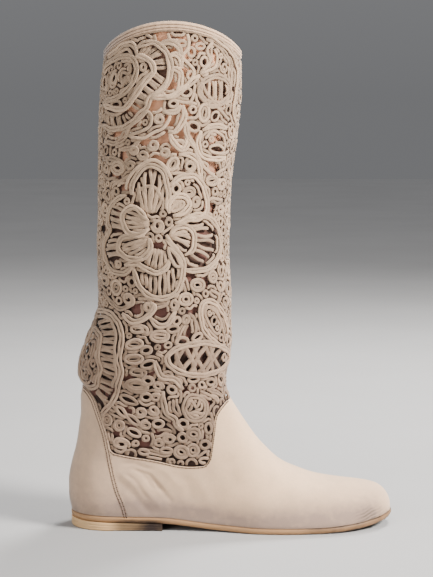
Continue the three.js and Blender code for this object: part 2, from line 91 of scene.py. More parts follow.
room_colour = (0.84, 0.85, 0.88, 1)
strength_low, strength_high = 0.2, 0.48  # level with the floor, and overhead
full_strength_above = 0.6  # as the upward part of a view of length 1
world = bpy.data.worlds.new("pale_room")
world.use_nodes = True
room = world.node_tree
background = room.nodes["Background"]
background.inputs["Color"].default_value = room_colour
outward = room.nodes.new("ShaderNodeTexCoord").outputs["Generated"]
split = room.nodes.new("ShaderNodeSeparateXYZ")
room.links.new(outward, split.inputs["Vector"])
strength = room.nodes.new("ShaderNodeMapRange")
strength.inputs["From Max"].default_value = full_strength_above
strength.inputs["To Min"].default_value = strength_low
strength.inputs["To Max"].default_value = strength_high
room.links.new(split.outputs["Z"], strength.inputs["Value"])
room.links.new(strength.outputs["Result"], background.inputs["Strength"])
bpy.context.scene.world = world

# %% [markdown]
# ## Materials
#
# Nubuck is leather sanded to a short nap. It is matt, it scatters light softly at its edges, and its
# colour drifts a little where the nap lies another way. Upper, cords and binding share this, so the
# effect is a shader node group, built once and placed in each material with its own values. It could
# be painted as a texture, but noise on Object coordinates needs no image and has no seams.

# %% Helpers for shader trees
def add_node(tree, kind, inputs=None, **settings):
    """A node with its settings. Each input given is linked if it is a socket, or else set."""
    made = tree.nodes.new(kind)
    for key, value in settings.items():
        setattr(made, key, value)
    for key, item in (inputs or {}).items():
        socket = made.inputs[key]
        if isinstance(item, bpy.types.NodeSocket):
            tree.links.new(item, socket)
        else:
            socket.default_value = (*item, 1) if socket.type == "RGBA" else item
    return made


def add_sockets(tree, inputs, outputs):
    """A group's sockets, in rows of name, kind and, where there is one, the value at first."""
    for way, rows in (("INPUT", inputs), ("OUTPUT", outputs)):
        for name, kind, *value in rows:
            socket = tree.interface.new_socket(name, in_out=way, socket_type="NodeSocket" + kind)
            if value:
                socket.default_value = value[0]
    return add_node(tree, "NodeGroupInput").outputs, add_node(tree, "NodeGroupOutput").inputs


def object_place(tree):
    return add_node(tree, "ShaderNodeTexCoord").outputs["Object"]


def stored(tree, name):
    """A number that the mesh keeps at each point."""
    return add_node(tree, "ShaderNodeAttribute", attribute_name=name).outputs["Fac"]


def noise(tree, place, scale, detail=3.0, roughness=0.55):
    inputs = {"Vector": place, "Scale": scale, "Detail": detail, "Roughness": roughness}
    return add_node(tree, "ShaderNodeTexNoise", inputs).outputs["Fac"]


def remap(tree, value, low, high, to_low, to_high):
    inputs = {"Value": value, "From Min": low, "From Max": high, "To Min": to_low, "To Max": to_high}
    return add_node(tree, "ShaderNodeMapRange", inputs, clamp=True).outputs["Result"]


def reckon(tree, operation, first, second):
    return add_node(tree, "ShaderNodeMath", {0: first, 1: second}, operation=operation).outputs["Value"]


def weighted_sum(tree, *parts):
    total = None
    for item, share in parts:
        part = reckon(tree, "MULTIPLY", item, share)
        total = part if total is None else reckon(tree, "ADD", total, part)
    return total


def blend_colours(tree, share, first, second):
    """A Mix node's colour sockets go by number, because its number sockets have the same names."""
    inputs = {0: share, 6: first, 7: second}
    return add_node(tree, "ShaderNodeMix", inputs, data_type="RGBA").outputs[2]


def scale_colour(tree, colour, factor):
    inputs = {0: colour, "Scale": factor}
    return add_node(tree, "ShaderNodeVectorMath", inputs, operation="SCALE").outputs["Vector"]


def linear(red, green, blue):
    """A colour given in the usual 0 to 255 steps, as the linear values that shaders use."""
    share = np.array([red, green, blue]) / 255
    curved = ((share + 0.055) / 1.055) ** 2.4
    return tuple(float(v) for v in np.where(share <= 0.04045, share / 12.92, curved))


print("half of full brightness, as a linear value:", round(linear(128, 128, 128)[0], 3))


# %% Nubuck nap, a shader node group
def make_nap_group():
    tree = bpy.data.node_groups.new("nubuck_nap", "ShaderNodeTree")
    given, result = add_sockets(
        tree,
        [("Colour", "Color"), ("Mottle", "Float", 0.12), ("Grain Scale", "Float", 900)],
        [("Colour", "Color"), ("Roughness", "Float"), ("Height", "Float")],
    )
    place = object_place(tree)
    broad = noise(tree, place, 16, 4)
    middle = noise(tree, place, 90, 4)
    fine = noise(tree, place, 520, 3, 0.7)
    drift = weighted_sum(tree, (broad, 0.5), (middle, 0.3), (fine, 0.2))
    swing = reckon(tree, "SUBTRACT", drift, 0.5)
    swing = reckon(tree, "MULTIPLY", swing, reckon(tree, "MULTIPLY", given["Mottle"], 5.0))
    level = reckon(tree, "ADD", swing, 1.0)
    tree.links.new(scale_colour(tree, given["Colour"], level), result["Colour"])
    tree.links.new(remap(tree, fine, 0.3, 0.7, 0.86, 0.97), result["Roughness"])
    grain = noise(tree, place, given["Grain Scale"], 4, 0.75)
    tree.links.new(reckon(tree, "ADD", grain, reckon(tree, "MULTIPLY", middle, 0.8)), result["Height"])
    return tree


nap_group = make_nap_group()
print("group:", nap_group.name, [item.name for item in nap_group.interface.items_tree])

# %% [markdown]
# Dirt, wear and painted shade gather where the points of a mesh say so. The meshes below keep two
# numbers at each point, from 0 to 1, one for wear and painted shade and one for dust and painted
# shade, and this second group turns them into colours that noise breaks up.

# %% Wear, dust and painted shade, a shader node group
def make_wear_and_shade_group():
    tree = bpy.data.node_groups.new("worn_patches", "ShaderNodeTree")
    given, result = add_sockets(
        tree,
        [
            ("Colour", "Color"), ("Worn Colour", "Color"), ("Soiled Colour", "Color"),
            ("Break Up", "Float", 0.4), ("Scale", "Float", 160),
        ],
        [("Colour", "Color")],
    )
    speck = noise(tree, object_place(tree), given["Scale"], 5, 0.5)
    swing = reckon(tree, "MULTIPLY", reckon(tree, "SUBTRACT", speck, 0.5), 4.0)
    swing = reckon(tree, "MULTIPLY", swing, given["Break Up"])
    worn_shaded = reckon(tree, "MULTIPLY", stored(tree, "wear_and_shade"), reckon(tree, "ADD", swing, 1.0))
    calm_swing = reckon(tree, "MULTIPLY", swing, 0.4)
    dust_shaded = reckon(tree, "MULTIPLY", stored(tree, "dust_and_shade"), reckon(tree, "ADD", calm_swing, 1.0))
    mixed = blend_colours(tree, remap(tree, dust_shaded, 0, 1, 0, 1), given["Colour"], given["Soiled Colour"])
    mixed = blend_colours(tree, remap(tree, worn_shaded, 0, 1, 0, 1), mixed, given["Worn Colour"])
    tree.links.new(mixed, result["Colour"])
    return tree


wear_and_shade_group = make_wear_and_shade_group()
print("group:", wear_and_shade_group.name)


# %% Materials from the groups
def new_material(name, roughness, sheen=0.0, specular=0.3):
    material = bpy.data.materials.new(name)
    material.use_nodes = True
    shader = material.node_tree.nodes["Principled BSDF"]
    shader.inputs["Roughness"].default_value = roughness
    shader.inputs["Specular IOR Level"].default_value = specular
    shader.inputs["Sheen Weight"].default_value = sheen
    shader.inputs["Sheen Roughness"].default_value = 0.45
    return material, material.node_tree, shader


def bump(tree, height, shader, depth):
    made = add_node(tree, "ShaderNodeBump", {"Strength": 1.0, "Distance": depth, "Height": height})
    tree.links.new(made.outputs["Normal"], shader.inputs["Normal"])


groove_shade_share = 0.18  # painted shade: how far the dark colour shows where a mesh keeps a furrow of 1


def nubuck(name, colour, worn_shaded, dust_shaded, mottle, grain=900, nap_depth=0.0001, tone=0.0):
    """With tone above 0, each cord's own tone makes it that much lighter or darker."""
    material, tree, shader = new_material(name, 0.92, sheen=0.35, specular=0.12)
    inputs = {"Colour": colour, "Mottle": mottle, "Grain Scale": grain}
    nap = add_node(tree, "ShaderNodeGroup", inputs, node_tree=nap_group).outputs
    inputs = {"Colour": nap["Colour"], "Worn Colour": worn_shaded, "Soiled Colour": dust_shaded}
    out = add_node(tree, "ShaderNodeGroup", inputs, node_tree=wear_and_shade_group).outputs["Colour"]
    # The cords' grooves and undersides are darkened here, as painted shade.
    out = blend_colours(tree, reckon(tree, "MULTIPLY", stored(tree, "furrow"), groove_shade_share), out, worn_shaded)
    if tone:
        out = scale_colour(tree, out, remap(tree, stored(tree, "tone"), 0, 1, 1 - tone, 1 + tone))
    tree.links.new(out, shader.inputs["Base Color"])
    tree.links.new(nap["Roughness"], shader.inputs["Roughness"])
    bump(tree, nap["Height"], shader, nap_depth)
    return material


# The second and third colours are the worn and the dusty colour, and both also serve as painted shade.
upper_nubuck = nubuck(
    "upper_nubuck", linear(232, 195, 157), linear(92, 80, 70), linear(160, 136, 121), mottle=0.16
)
cord_nubuck = nubuck(
    "cord_nubuck", linear(255, 220, 183), linear(86, 64, 51), linear(176, 148, 128), mottle=0.26,
    grain=450, nap_depth=0.0004, tone=0.2,
)
binding_nubuck = nubuck(
    "binding_nubuck", linear(212, 177, 145), linear(104, 80, 66), linear(162, 150, 144), mottle=0.14
)
print("nubucks:", upper_nubuck.name, cord_nubuck.name, binding_nubuck.name)

# %% [markdown]
# ## The last
#
# A shoemaker shapes a boot over a last, and every piece lies on it. Here the last is a rule: half the
# boot's width at any place along it and any height. The rule and its rows are the ones that the CAD
# source uses, so each dressed piece lies where its solid does. The rows could be sculpted by eye, but
# then upper, lace and sole would each need fitting to the others.

# %% Sizes of the boot, in millimetres
boot_length = 254
boot_height = 391
ankle_height = 101
topline_dip = 20
ball_width = 88
heel_width = 61
shaft_depth = 105
shaft_width = 103
shaft_setback = 49
toe_inflare = 6
waist_shift = 2.6
outsole_thickness = 4.7
heel_rise = 7.5
toe_spring = 6.3
heel_breast = 53
sole_overhang = 0.9
upper_wall = 1.8
band_height = 6
clearance = 0.3
print("the boot:", boot_length, "mm along the sole and", boot_height, "mm tall")


# %% Curves through rows
def smooth(value):
    share = np.clip(value, 0, 1)
    return share * share * (3 - 2 * share)


def mix(first, second, share):
    return first + (second - first) * share


def unit(vectors):
    return vectors / np.linalg.norm(vectors, axis=-1, keepdims=True)


def run_along(points):
    """How far along a line each of its points is."""
    return np.concatenate([[0], np.cumsum(np.linalg.norm(np.diff(points, axis=0), axis=1))])


def quarter_round(value):
    return np.sqrt(np.maximum(0, 1 - (1 - np.clip(value, 0, 1)) ** 2))


def curve_through(rows):
    """A smooth curve through rows of (place, value), with no overshoot between them."""
    places = np.array([row[0] for row in rows], float)
    values = np.array([row[1] for row in rows], float)
    steps = np.diff(values) / np.diff(places)
    slopes = np.zeros(len(rows))
    slopes[0], slopes[-1] = steps[0], steps[-1]
    for i in range(1, len(rows) - 1):
        if steps[i - 1] * steps[i] > 0:
            slopes[i] = 2 / (1 / steps[i - 1] + 1 / steps[i])

    def at(place):
        place = np.clip(np.asarray(place, float), places[0], places[-1])
        i = np.clip(np.searchsorted(places, place, side="left") - 1, 0, len(rows) - 2)
        span = places[i + 1] - places[i]
        v = (place - places[i]) / span
        low = values[i] * (1 + 2 * v) * (1 - v) ** 2 + slopes[i] * span * v * (1 - v) ** 2
        high = values[i + 1] * v * v * (3 - 2 * v) - slopes[i + 1] * span * v * v * (1 - v)
        return low + high

    return at


print("a quarter of the way over a smooth step:", float(smooth(0.25)))

# %% Rows of the last, as shares of the sizes above
# Behind and over the heel: height, back edge, half width, and how far the back is rounded.
foot_back_rows = [
    (0.1, -0.49, 0.478, 0.49), (0.25, -0.5, 0.505, 0.5), (0.35, -0.5, 0.505, 0.5),
    (0.44, -0.495, 0.5, 0.5), (0.535, -0.486, 0.498, 0.51), (0.63, -0.476, 0.505, 0.53),
    (0.72, -0.47, 0.52, 0.56), (0.81, -0.465, 0.54, 0.6), (0.9, -0.461, 0.565, 0.65),
    (1.0, -0.461, 0.595, 0.7),
]
# Up the shaft: height, back edge, front edge and half width.
shaft_rows = [
    (0.03, -0.637, 0.438, 0.375), (0.065, -0.672, 0.44, 0.4), (0.1, -0.665, 0.462, 0.42),
    (0.13, -0.64, 0.468, 0.435), (0.165, -0.608, 0.478, 0.445), (0.2, -0.565, 0.474, 0.45),
    (0.26, -0.517, 0.473, 0.455), (0.38, -0.523, 0.458, 0.458), (0.48, -0.518, 0.461, 0.465),
    (0.6, -0.512, 0.478, 0.474), (0.71, -0.508, 0.52, 0.488), (0.84, -0.487, 0.547, 0.5),
    (0.91, -0.462, 0.542, 0.5), (1.0, -0.455, 0.54, 0.5),
]
# Over the instep and toe: height, and how far forward.
dorsal_rows = [
    (0.1, 0.5), (0.155, 0.499), (0.2, 0.494), (0.24, 0.485), (0.27, 0.474), (0.3, 0.455),
    (0.32, 0.425), (0.333, 0.39), (0.345, 0.35), (0.36, 0.31), (0.38, 0.27), (0.405, 0.238),
    (0.435, 0.208), (0.468, 0.177), (0.514, 0.147), (0.583, 0.117), (0.67, 0.085), (0.8, 0.048),
    (0.9, 0.022), (1.0, -0.001),
]
# Seen from above, before the heel: how far forward, and half width.
plan_rows = [
    (-0.2, 0.36), (-0.12, 0.37), (-0.04, 0.395), (0.04, 0.44), (0.12, 0.482), (0.19, 0.5), (0.26, 0.496),
]
# Under the sole: how far forward, and the shares of the heel's rise and of the toe's spring.
rise_rows = [
    (-0.5, 1, 0), (-0.39, 0.9, 0), (-0.31, 0.82, 0), (-0.22, 0.77, 0), (-0.18, 0.7, 0),
    (-0.135, 0.52, 0), (-0.08, 0.3, 0), (-0.02, 0.13, 0), (0.05, 0.03, 0), (0.11, 0, 0),
    (0.26, 0, 0), (0.32, 0, 0.1), (0.38, 0, 0.28), (0.43, 0, 0.52), (0.47, 0, 0.76), (0.5, 0, 1),
]
# Rings of the foot: height at the back, and height at the front.
ring_rows = [
    (0.123, 0.112), (0.18, 0.16), (0.24, 0.215), (0.3, 0.268), (0.36, 0.308), (0.42, 0.33),
    (0.48, 0.345), (0.54, 0.363), (0.6, 0.396), (0.66, 0.445), (0.72, 0.515), (0.79, 0.615),
    (0.86, 0.735), (0.93, 0.865), (1.0, 1.0), (1.09, 1.09),
]
# Lower edge of the lace panel, and front edge of the counter: how far forward, and height.
panel_rows = [
    (-0.56, 1.11), (-0.449, 1.09), (-0.418, 1.03), (-0.397, 0.9), (-0.376, 0.74), (-0.368, 0.645),
    (-0.355, 0.61), (-0.235, 0.553), (-0.125, 0.506), (-0.085, 0.512), (-0.066, 0.56),
    (-0.056, 0.7), (-0.046, 0.88), (-0.028, 0.95), (-0.006, 0.99), (0.08, 1.01),
]
counter_rows = [(-0.361, 0.54), (-0.343, 0.34), (-0.32, 0.18), (-0.306, 0.0)]
print("rows of the last:", len(foot_back_rows + shaft_rows + dorsal_rows + plan_rows + rise_rows))

# %% The last's rule
shaft_height = boot_height - ankle_height
heel_curve = curve_through([(row[0], row[1] * heel_rise) for row in rise_rows])
toe_curve = curve_through([(row[0], row[2] * toe_spring) for row in rise_rows])


def rise(x):
    """The underside of the outsole."""
    return heel_curve(np.asarray(x) / boot_length) + toe_curve(np.asarray(x) / boot_length)


def feather_height(x):
    """The lower edge of the upper."""
    return rise(x) + outsole_thickness + clearance


height_rows = [
    (z * ankle_height, back * boot_length, half * heel_width, rounding * heel_width, shaft_depth * 0.44)
    for z, back, half, rounding in foot_back_rows
] + [
    (
        ankle_height + z * shaft_height,
        back * shaft_depth - shaft_setback,
        half * shaft_width,
        (front - back) / 2 * shaft_depth,
        (front - back) / 2 * shaft_depth,
    )
    for z, back, front, half in shaft_rows
]
back_at = curve_through([(row[0], row[1]) for row in height_rows])
shaft_half = curve_through([(row[0], row[2]) for row in height_rows])
back_round = curve_through([(row[0], row[3]) for row in height_rows])
front_round = curve_through([(row[0], row[4]) for row in height_rows])
front_at = curve_through(
    [(z * ankle_height, x * boot_length) for z, x in dorsal_rows]
    + [
        (ankle_height + row[0] * shaft_height, row[2] * shaft_depth - shaft_setback)
        for row in shaft_rows
    ]
)
dorsal_z = np.linspace(dorsal_rows[0][0] * ankle_height, ankle_height, 1200)
dorsal_x = np.minimum.accumulate(front_at(dorsal_z))
plan_curve = curve_through([(x * boot_length, half * ball_width) for x, half in plan_rows])


def dorsal_height(x):
    """The height of the line over the toe and instep."""
    behind = np.maximum(0, dorsal_x[-1] - x)
    return np.interp(-x, -dorsal_x, dorsal_z) + 1.7 * behind + 0.05 * behind**2


def plan_half(x):
    start = 0.26 * boot_length
    share = np.clip((x - start) / (boot_length / 2 - start), 0, 1)
    return plan_curve(x) * np.sqrt(1 - share**2.1)


upright_from_x, upright_over = -35, 60  # here the sections turn from level to upright
upright_below, upright_fade = ankle_height - 3, 35
round_up, round_in = 2.3, 1.85  # powers that give the vamp's full, low curve


def half_width(x, z):
    """Half the boot's width, from level sections behind the instep and upright ones in front."""
    back = quarter_round((x - back_at(z)) / back_round(z))
    front = quarter_round((front_at(z) - x) / front_round(z))
    level = shaft_half(z) * back * front
    share = smooth((x - upright_from_x) / upright_over) * smooth((upright_below - z) / upright_fade)
    foot = feather_height(x)
    s = np.clip((z - foot) / (dorsal_height(x) - foot), 0, 1)
    upright = plan_half(x) * (1 - s**round_up) ** (1 / round_in)
    return mix(level, upright, share)


def middle_line(x, z):
    """How far the boot's middle is aside: inwards at the toe, and a little the other way at the waist."""
    low = 1 - smooth((z - 30) / (ankle_height - 30))
    toe = toe_inflare * smooth((x - boot_length * 0.05) / (boot_length * 0.45)) ** 1.3
    return low * (toe - waist_shift * np.exp(-(((x + 15) / 38) ** 2)))


widths = [float(half_width(x, z).round(1)) for x, z in ((-100, 30), (48, 14))]
print("half width over the heel and over the ball:", widths)

# %% [markdown]
# Points on the skin are found in two ways. For the foot, rings start level at the back and lean with
# the instep at the front, the lowest one following the sole. For the lace, a chart as a pattern cutter
# would draw it: a turn round the shaft and a height. Both give places on the same surface.

# %% Rings of the foot
ring_back = float(feather_height(-boot_length / 2))
ring_front_height = curve_through([(a * ankle_height, b * ankle_height) for a, b in ring_rows])


def foot_point(turn, up):
    turn, up = np.broadcast_arrays(np.asarray(turn, float), np.asarray(up, float))
    hug = (1 - smooth((up - ring_back) / (ankle_height * 0.35))) ** 2
    level = ring_front_height(up)
    front = front_at(level)
    for _ in range(12):
        z = mix(level, feather_height(front) + up - ring_back, hug)
        front = mix(front, front_at(z), 0.7)
    share = (1 - np.cos(turn)) / 2
    x = mix(back_at(up), front, share)
    z = mix(mix(up, level, share), feather_height(x) + up - ring_back, hug)
    side = np.where(np.sin(turn) >= 0, -1.0, 1.0)
    half = np.where(np.abs(np.sin(turn)) < 1e-9, 0, half_width(x, z))
    return np.stack([x, middle_line(x, z) + side * half, z], -1)


small_turn, small_rise = 0.02, 0.8  # steps over which the skin's slope is measured


def foot_normal(turn, up):
    across = foot_point(turn + small_turn, up) - foot_point(turn - small_turn, up)
    below = np.maximum(up - small_rise, ring_back)
    along = foot_point(turn, up + small_rise) - foot_point(turn, below)
    return unit(np.cross(across, along))


print("tip of the toe at the lower edge of the upper:", foot_point(np.pi, ring_back).round(1))


# %% The lace's chart
chart_radius = 51.5  # a turn of one radian is this far round the shaft
chart_foot = 100  # below this height the chart keeps the depth that the ankle has


def chart_x(turn, z):
    level = np.maximum(z, chart_foot)
    return mix(back_at(level), front_at(level), (1 - np.cos(turn)) / 2)


def chart_turn(x, z):
    level = np.maximum(z, chart_foot)
    share = (x - back_at(level)) / (front_at(level) - back_at(level))
    return np.arccos(np.clip(1 - 2 * share, -0.9999, 0.9999))


def shaft_point(turn, z):
    turn, z = np.broadcast_arrays(np.asarray(turn, float), np.asarray(z, float))
    x = chart_x(turn, z)
    side = np.where(np.sin(turn) >= 0, -1.0, 1.0)
    return np.stack([x, middle_line(x, z) + side * half_width(x, z), z], -1)


def shaft_normal(turn, z):
    across = shaft_point(turn + small_turn, z) - shaft_point(turn - small_turn, z)
    above = np.minimum(z + small_rise, boot_height)
    along = shaft_point(turn, above) - shaft_point(turn, z - small_rise)
    return unit(np.cross(across, along))


def topline(turn):
    soft = 0.5  # rounds the dips at the front and the back
    arch = (np.sqrt(np.sin(turn) ** 2 + soft**2) - soft) / (np.sqrt(1 + soft**2) - soft)
    return boot_height - topline_dip + topline_dip * arch


panel_curve = curve_through([(x * boot_length, z * ankle_height) for x, z in panel_rows])
print("skin at the outer side, 250 mm up:", shaft_point(np.pi / 2, 250).round(1))

# %% Plain meshes from grids of points
def new_piece(name, points, faces, material, numbers=None):
    mesh = bpy.data.meshes.new(name)
    mesh.from_pydata((np.asarray(points) / 1000).tolist(), [], [tuple(face) for face in faces])
    mesh.materials.append(material)
    for key, values in (numbers or {}).items():
        layer = mesh.attributes.new(key, "FLOAT", "POINT")
        layer.data.foreach_set("value", np.asarray(values, float).ravel())
    mesh.shade_smooth()
    mesh.set_sharp_from_angle(angle=1.0)
    mesh.update()
    piece = bpy.data.objects.new(name, mesh)
    bpy.context.scene.collection.objects.link(piece)
    return piece


def grid_faces(rows, columns, closed=True):
    """Quads of a grid whose rows run one after the other, each one closed to a ring or open."""
    wide = columns if closed else columns - 1
    j, i = np.meshgrid(np.arange(rows - 1), np.arange(wide), indexing="ij")
    a = j * columns + i
    b = j * columns + (i + 1) % columns
    return np.stack([a, b, b + columns, a + columns], -1).reshape(-1, 4).tolist()


def wall_faces(rows, columns):
    """A closed grid whose last row also meets its first, as in a wall with two sides."""
    last = (rows - 1) * columns
    seam = [(last + i, last + (i + 1) % columns, (i + 1) % columns, i) for i in range(columns)]
    return grid_faces(rows, columns) + seam


def dress(piece, slot, *nodes):
    """A finished piece rides on the boot's one body, and the CAD parts given after its slot are hidden. The
    slot is not used.
    """
    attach(piece, "root")
    if nodes:
        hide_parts(*nodes)
    piece.data.calc_loop_triangles()
    print(piece.name, "has", len(piece.data.loop_triangles), "triangles")


print("a wall of 3 rows and 4 columns has", len(wall_faces(3, 4)), "faces")

# %% [markdown]
# ## The upper
#
# Vamp and quarters are one soft shell of nubuck, pulled over the last. It could be a coarse cage with
# subdivision, but its upper edge runs down both sides in a U, and a subdivided cage rounds such an
# edge off. So the shell is a fine grid whose every column ends exactly on the edge: the columns are
# spread evenly along that edge and the sole together, and the rows between them follow by themselves.

# %% Columns of the upper
ring_top = 1.0899 * ankle_height  # just under the last of the rings
upper_columns = 2 * 165


def edge_up(turn):
    """Where each column of the foot's rings meets the lace panel's edge."""
    up = np.linspace(ring_back, ring_top, 500)[None, :]
    points = foot_point(turn[:, None], up)
    over = points[..., 2] - panel_curve(points[..., 0]) + clearance / 2
    first = np.argmax(over > 0, axis=1)
    first[~(over > 0).any(axis=1)] = up.shape[1] - 1
    first = np.maximum(first, 1)
    row = np.arange(len(turn))
    low, high = over[row, first - 1], over[row, first]
    share = np.where(high > 0, -low / np.maximum(high - low, 1e-9), 1)
    return up[0, first - 1] + np.clip(share, 0, 1) * (up[0, first] - up[0, first - 1])


dense = np.linspace(0, np.pi, 1500)
edge_steps = np.linalg.norm(np.diff(foot_point(dense, edge_up(dense)), axis=0), axis=1)
sole_steps = np.linalg.norm(np.diff(foot_point(dense, ring_back), axis=0), axis=1)
walk = np.concatenate([[0], np.cumsum(edge_steps + 0.45 * sole_steps)])
half_turns = np.interp(np.linspace(0, walk[-1], upper_columns // 2 + 1), walk, dense)
upper_turns = np.concatenate([half_turns, 2 * np.pi - half_turns[-2:0:-1]])
upper_edge = edge_up(np.where(upper_turns > np.pi, 2 * np.pi - upper_turns, upper_turns))
print("edge of the panel and sole edge, walked together:", round(walk[-1]), "mm")

# %% [markdown]
# Worn nubuck is never quite smooth: soft creases lie below the lace panel where the ankle bends, and
# a shallow one crosses the throat. Each is given as a line with a depth and a width. The
# same rows shape the outer and the inner side.

# %% Creases: from x, z to x, z, half width, depth, and -1 outer, 1 inner or 0 both sides
crease_rows = [
    (-87, 47, -51, 20, 3.8, 0.8, 0), (-89, 40, -60, 14, 3.0, -0.6, 0), (-75, 49, -57, 34, 1.7, -0.9, 0),
    (-68, 47, -51, 32, 1.6, -0.9, 0), (-81, 45, -63, 27, 1.6, -0.75, 0), (-64, 42, -45, 25, 1.8, -0.7, 0),
    (-84, 53, -60, 50, 2.0, -0.6, 0), (-56, 50, -40, 38, 3.0, 0.4, 0), (-38, 44, -28, 26, 3.6, -0.4, 0),
    (-30, 46, -14, 22, 4.2, 0.35, -1), (-8, 58, 10, 34, 6.0, -0.45, 0), (6, 70, 26, 44, 6.5, -0.4, 0),
    (14, 66, 34, 36, 6.0, 0.3, 1), (28, 44, 44, 16, 7.0, -0.35, -1), (44, 36, 58, 14, 6.0, 0.3, 0),
    (-12, 90, 2, 74, 4.0, -0.35, 0), (-104, 60, -98, 34, 5.0, -0.3, 0),
]


def crease_depth(points):
    x, y, z = points[..., 0], points[..., 1], points[..., 2]
    total = np.zeros(x.shape)
    for x1, z1, x2, z2, half, depth, side in crease_rows:
        dx, dz = x2 - x1, z2 - z1
        length = np.hypot(dx, dz)
        along = ((x - x1) * dx + (z - z1) * dz) / length
        aside = ((x - x1) * dz - (z - z1) * dx) / length + 1.2 * np.sin(along / length * 5)
        ends = smooth((along + 4) / 10) * smooth((length + 4 - along) / 10)
        on_side = 1.0 if side == 0 else smooth(side * y / 6)
        total += depth * np.exp(-((aside / half) ** 2)) * ends * on_side
    return total


print("creases and folds:", len(crease_rows))

# %% [markdown]
# The boot is darker just over the sole, as dust and as painted shade, darker towards the heel as painted
# shade, and rubbed dark at the tip of the toe. This could be painted by hand on a texture. Numbers at
# the points need no image and follow the boot's own shape, and the wear group breaks their even edges up.

# %% Where the upper is dusty, and darker with painted shade
def dust_and_shading(x, height):
    """Darker low down, as dust and as painted shade, and darker towards the heel as painted shade."""
    reach = 14 + 6 * smooth(x / 60)
    dust = 1.2 * np.exp(-((height / reach) ** 2))
    dust = dust * smooth((135 - x) / 30) * (0.25 + 0.75 * smooth((x + 110) / 60))
    return np.clip(dust + 0.28 * smooth((-40 - x) / 50) + 0.28 * smooth((20 - x) / 60), 0, 1)


def scuffing(x, y, z):
    """Dark streaks at the tip of the toe."""
    patch = np.exp(-(((x - 108) / 9) ** 2)) * np.exp(-(((z - 12) / 5) ** 2)) * (y < 8)
    return patch * (0.5 + 0.5 * np.sin(2.4 * z - 0.8 * x + 0.8 * np.sin(0.5 * x)))


print("soil at the waist, just over the sole and higher up:", dust_and_shading(-20, np.array([3, 30])).round(2))

# %% The upper's shell
outer_rows = 92
inner_rows = 34
rim_height = 0.95  # the rows over the rim keep this last part of the wall to themselves
sections = [(share, 0.0, 0.0) for share in np.linspace(0, 1, outer_rows)[:-1]]
sections += [(1.0, 0.9, 0.0), (1.0, 0.35, -0.08), (1.0, 0.05, -0.4), (1.0, 0.0, -0.9), (1.0, 0.3, -1.6)]
sections += [(share, 0.0, -upper_wall) for share in np.linspace(1, 0, inner_rows)[1:]]
upper_loops, wear_and_shade_rows, dust_and_shade_rows = [], [], []
for share, below, out in sections:  # share of the way up, millimetres below the edge, and offset
    up = np.maximum(mix(ring_back, upper_edge, share) - below, ring_back)
    if 0.97 < share < 1:
        up = np.minimum(up, upper_edge - rim_height)
    skin = foot_point(upper_turns, up)
    normal = foot_normal(upper_turns, up)
    lift = out + crease_depth(skin)[..., None] if out > -0.5 else out
    upper_loops.append(skin + normal * lift)
    x, y, z = skin.T
    height = z - feather_height(x)
    # Painted shade along the crevice where the upper meets the sole.
    crevice_shade = 0.3 * np.exp(-((height / 1.6) ** 2))
    cut_edge = 0.45 if share == 1.0 and -1.2 < out < -0.2 else 0.0
    wear_and_shade_rows.append(np.clip(scuffing(x, y, z) + crevice_shade + cut_edge, 0, 1))
    dust_and_shade_rows.append(dust_and_shading(x, height))
upper_numbers = {"wear_and_shade": np.concatenate(wear_and_shade_rows), "dust_and_shade": np.concatenate(dust_and_shade_rows)}
upper_faces = wall_faces(len(upper_loops), upper_columns)
upper_piece = new_piece(
    "nubuck_upper", np.concatenate(upper_loops), upper_faces, upper_nubuck, upper_numbers
)
dress(upper_piece, "nubuck", "upper")

# %% [markdown]
# The counter is a second layer of nubuck round the heel, stitched down along its front edge with two
# rows. It is a piece of its own, as on the real boot, so its edge casts the fine step that a shoe
# shows there. Its columns run from that edge on one side, round the back, to the edge on the other.

# %% The counter
counter_out = 0.45  # its thickness, over the upper
counter_bevel = [(1.0, 0.0, -0.5), (1.0, 0.0, 0.15), (1.0, 0.25, 0.36), (1.0, 0.8, counter_out)]
counter_top = 1.0885 * ankle_height
counter_edge = curve_through(sorted(
    (z * ankle_height, x * boot_length) for x, z in panel_rows[1:6] + counter_rows
))
counter_ups = np.linspace(ring_back + 0.05, counter_top, 76)
search = np.linspace(0.0, 1.9, 700)
grid = foot_point(search[None, :], counter_ups[:, None])
ahead = grid[..., 0] - counter_edge(grid[..., 2]) - 0.4
first = np.maximum(np.argmax(ahead > 0, axis=1), 1)
row = np.arange(len(counter_ups))
share = -ahead[row, first - 1] / (ahead[row, first] - ahead[row, first - 1])
counter_turn = search[first - 1] + np.clip(share, 0, 1) * (search[1] - search[0])
arc = np.linalg.norm(np.diff(grid, axis=1), axis=2)
arc_to_edge = np.array([arc[i, :k].sum() for i, k in enumerate(first)])
half_columns = counter_bevel + [(share, 0.0, counter_out) for share in np.linspace(1, 0, 46)[1:]]
counter_columns = [(-share, inset, out) for share, inset, out in half_columns] + half_columns[-2::-1]
counter_outs = np.array([out for _, _, out in counter_columns])
counter_loops = []
for k, up in enumerate(counter_ups):
    turns = np.array([
        np.sign(share) * max(0.0, abs(share) - inset / max(arc_to_edge[k], 4)) * counter_turn[k]
        for share, inset, _ in counter_columns
    ])
    skin = foot_point(turns, up)
    normal = foot_normal(turns, up)
    lift = counter_outs + crease_depth(skin)
    if counter_ups[-1] - up < 0.4:
        lift = np.minimum(lift, 0.4)
    counter_loops.append(skin + normal * lift[:, None])
counter_loops.append(counter_loops[-1] - normal * 0.7)
counter_points = np.concatenate(counter_loops)
height = counter_points[:, 2] - feather_height(counter_points[:, 0])
counter_wear_and_shade = 0.25 * np.exp(-((height / 5) ** 2)) + 0.12 * np.exp(-(((counter_points[:, 0] + 124) / 8) ** 2))
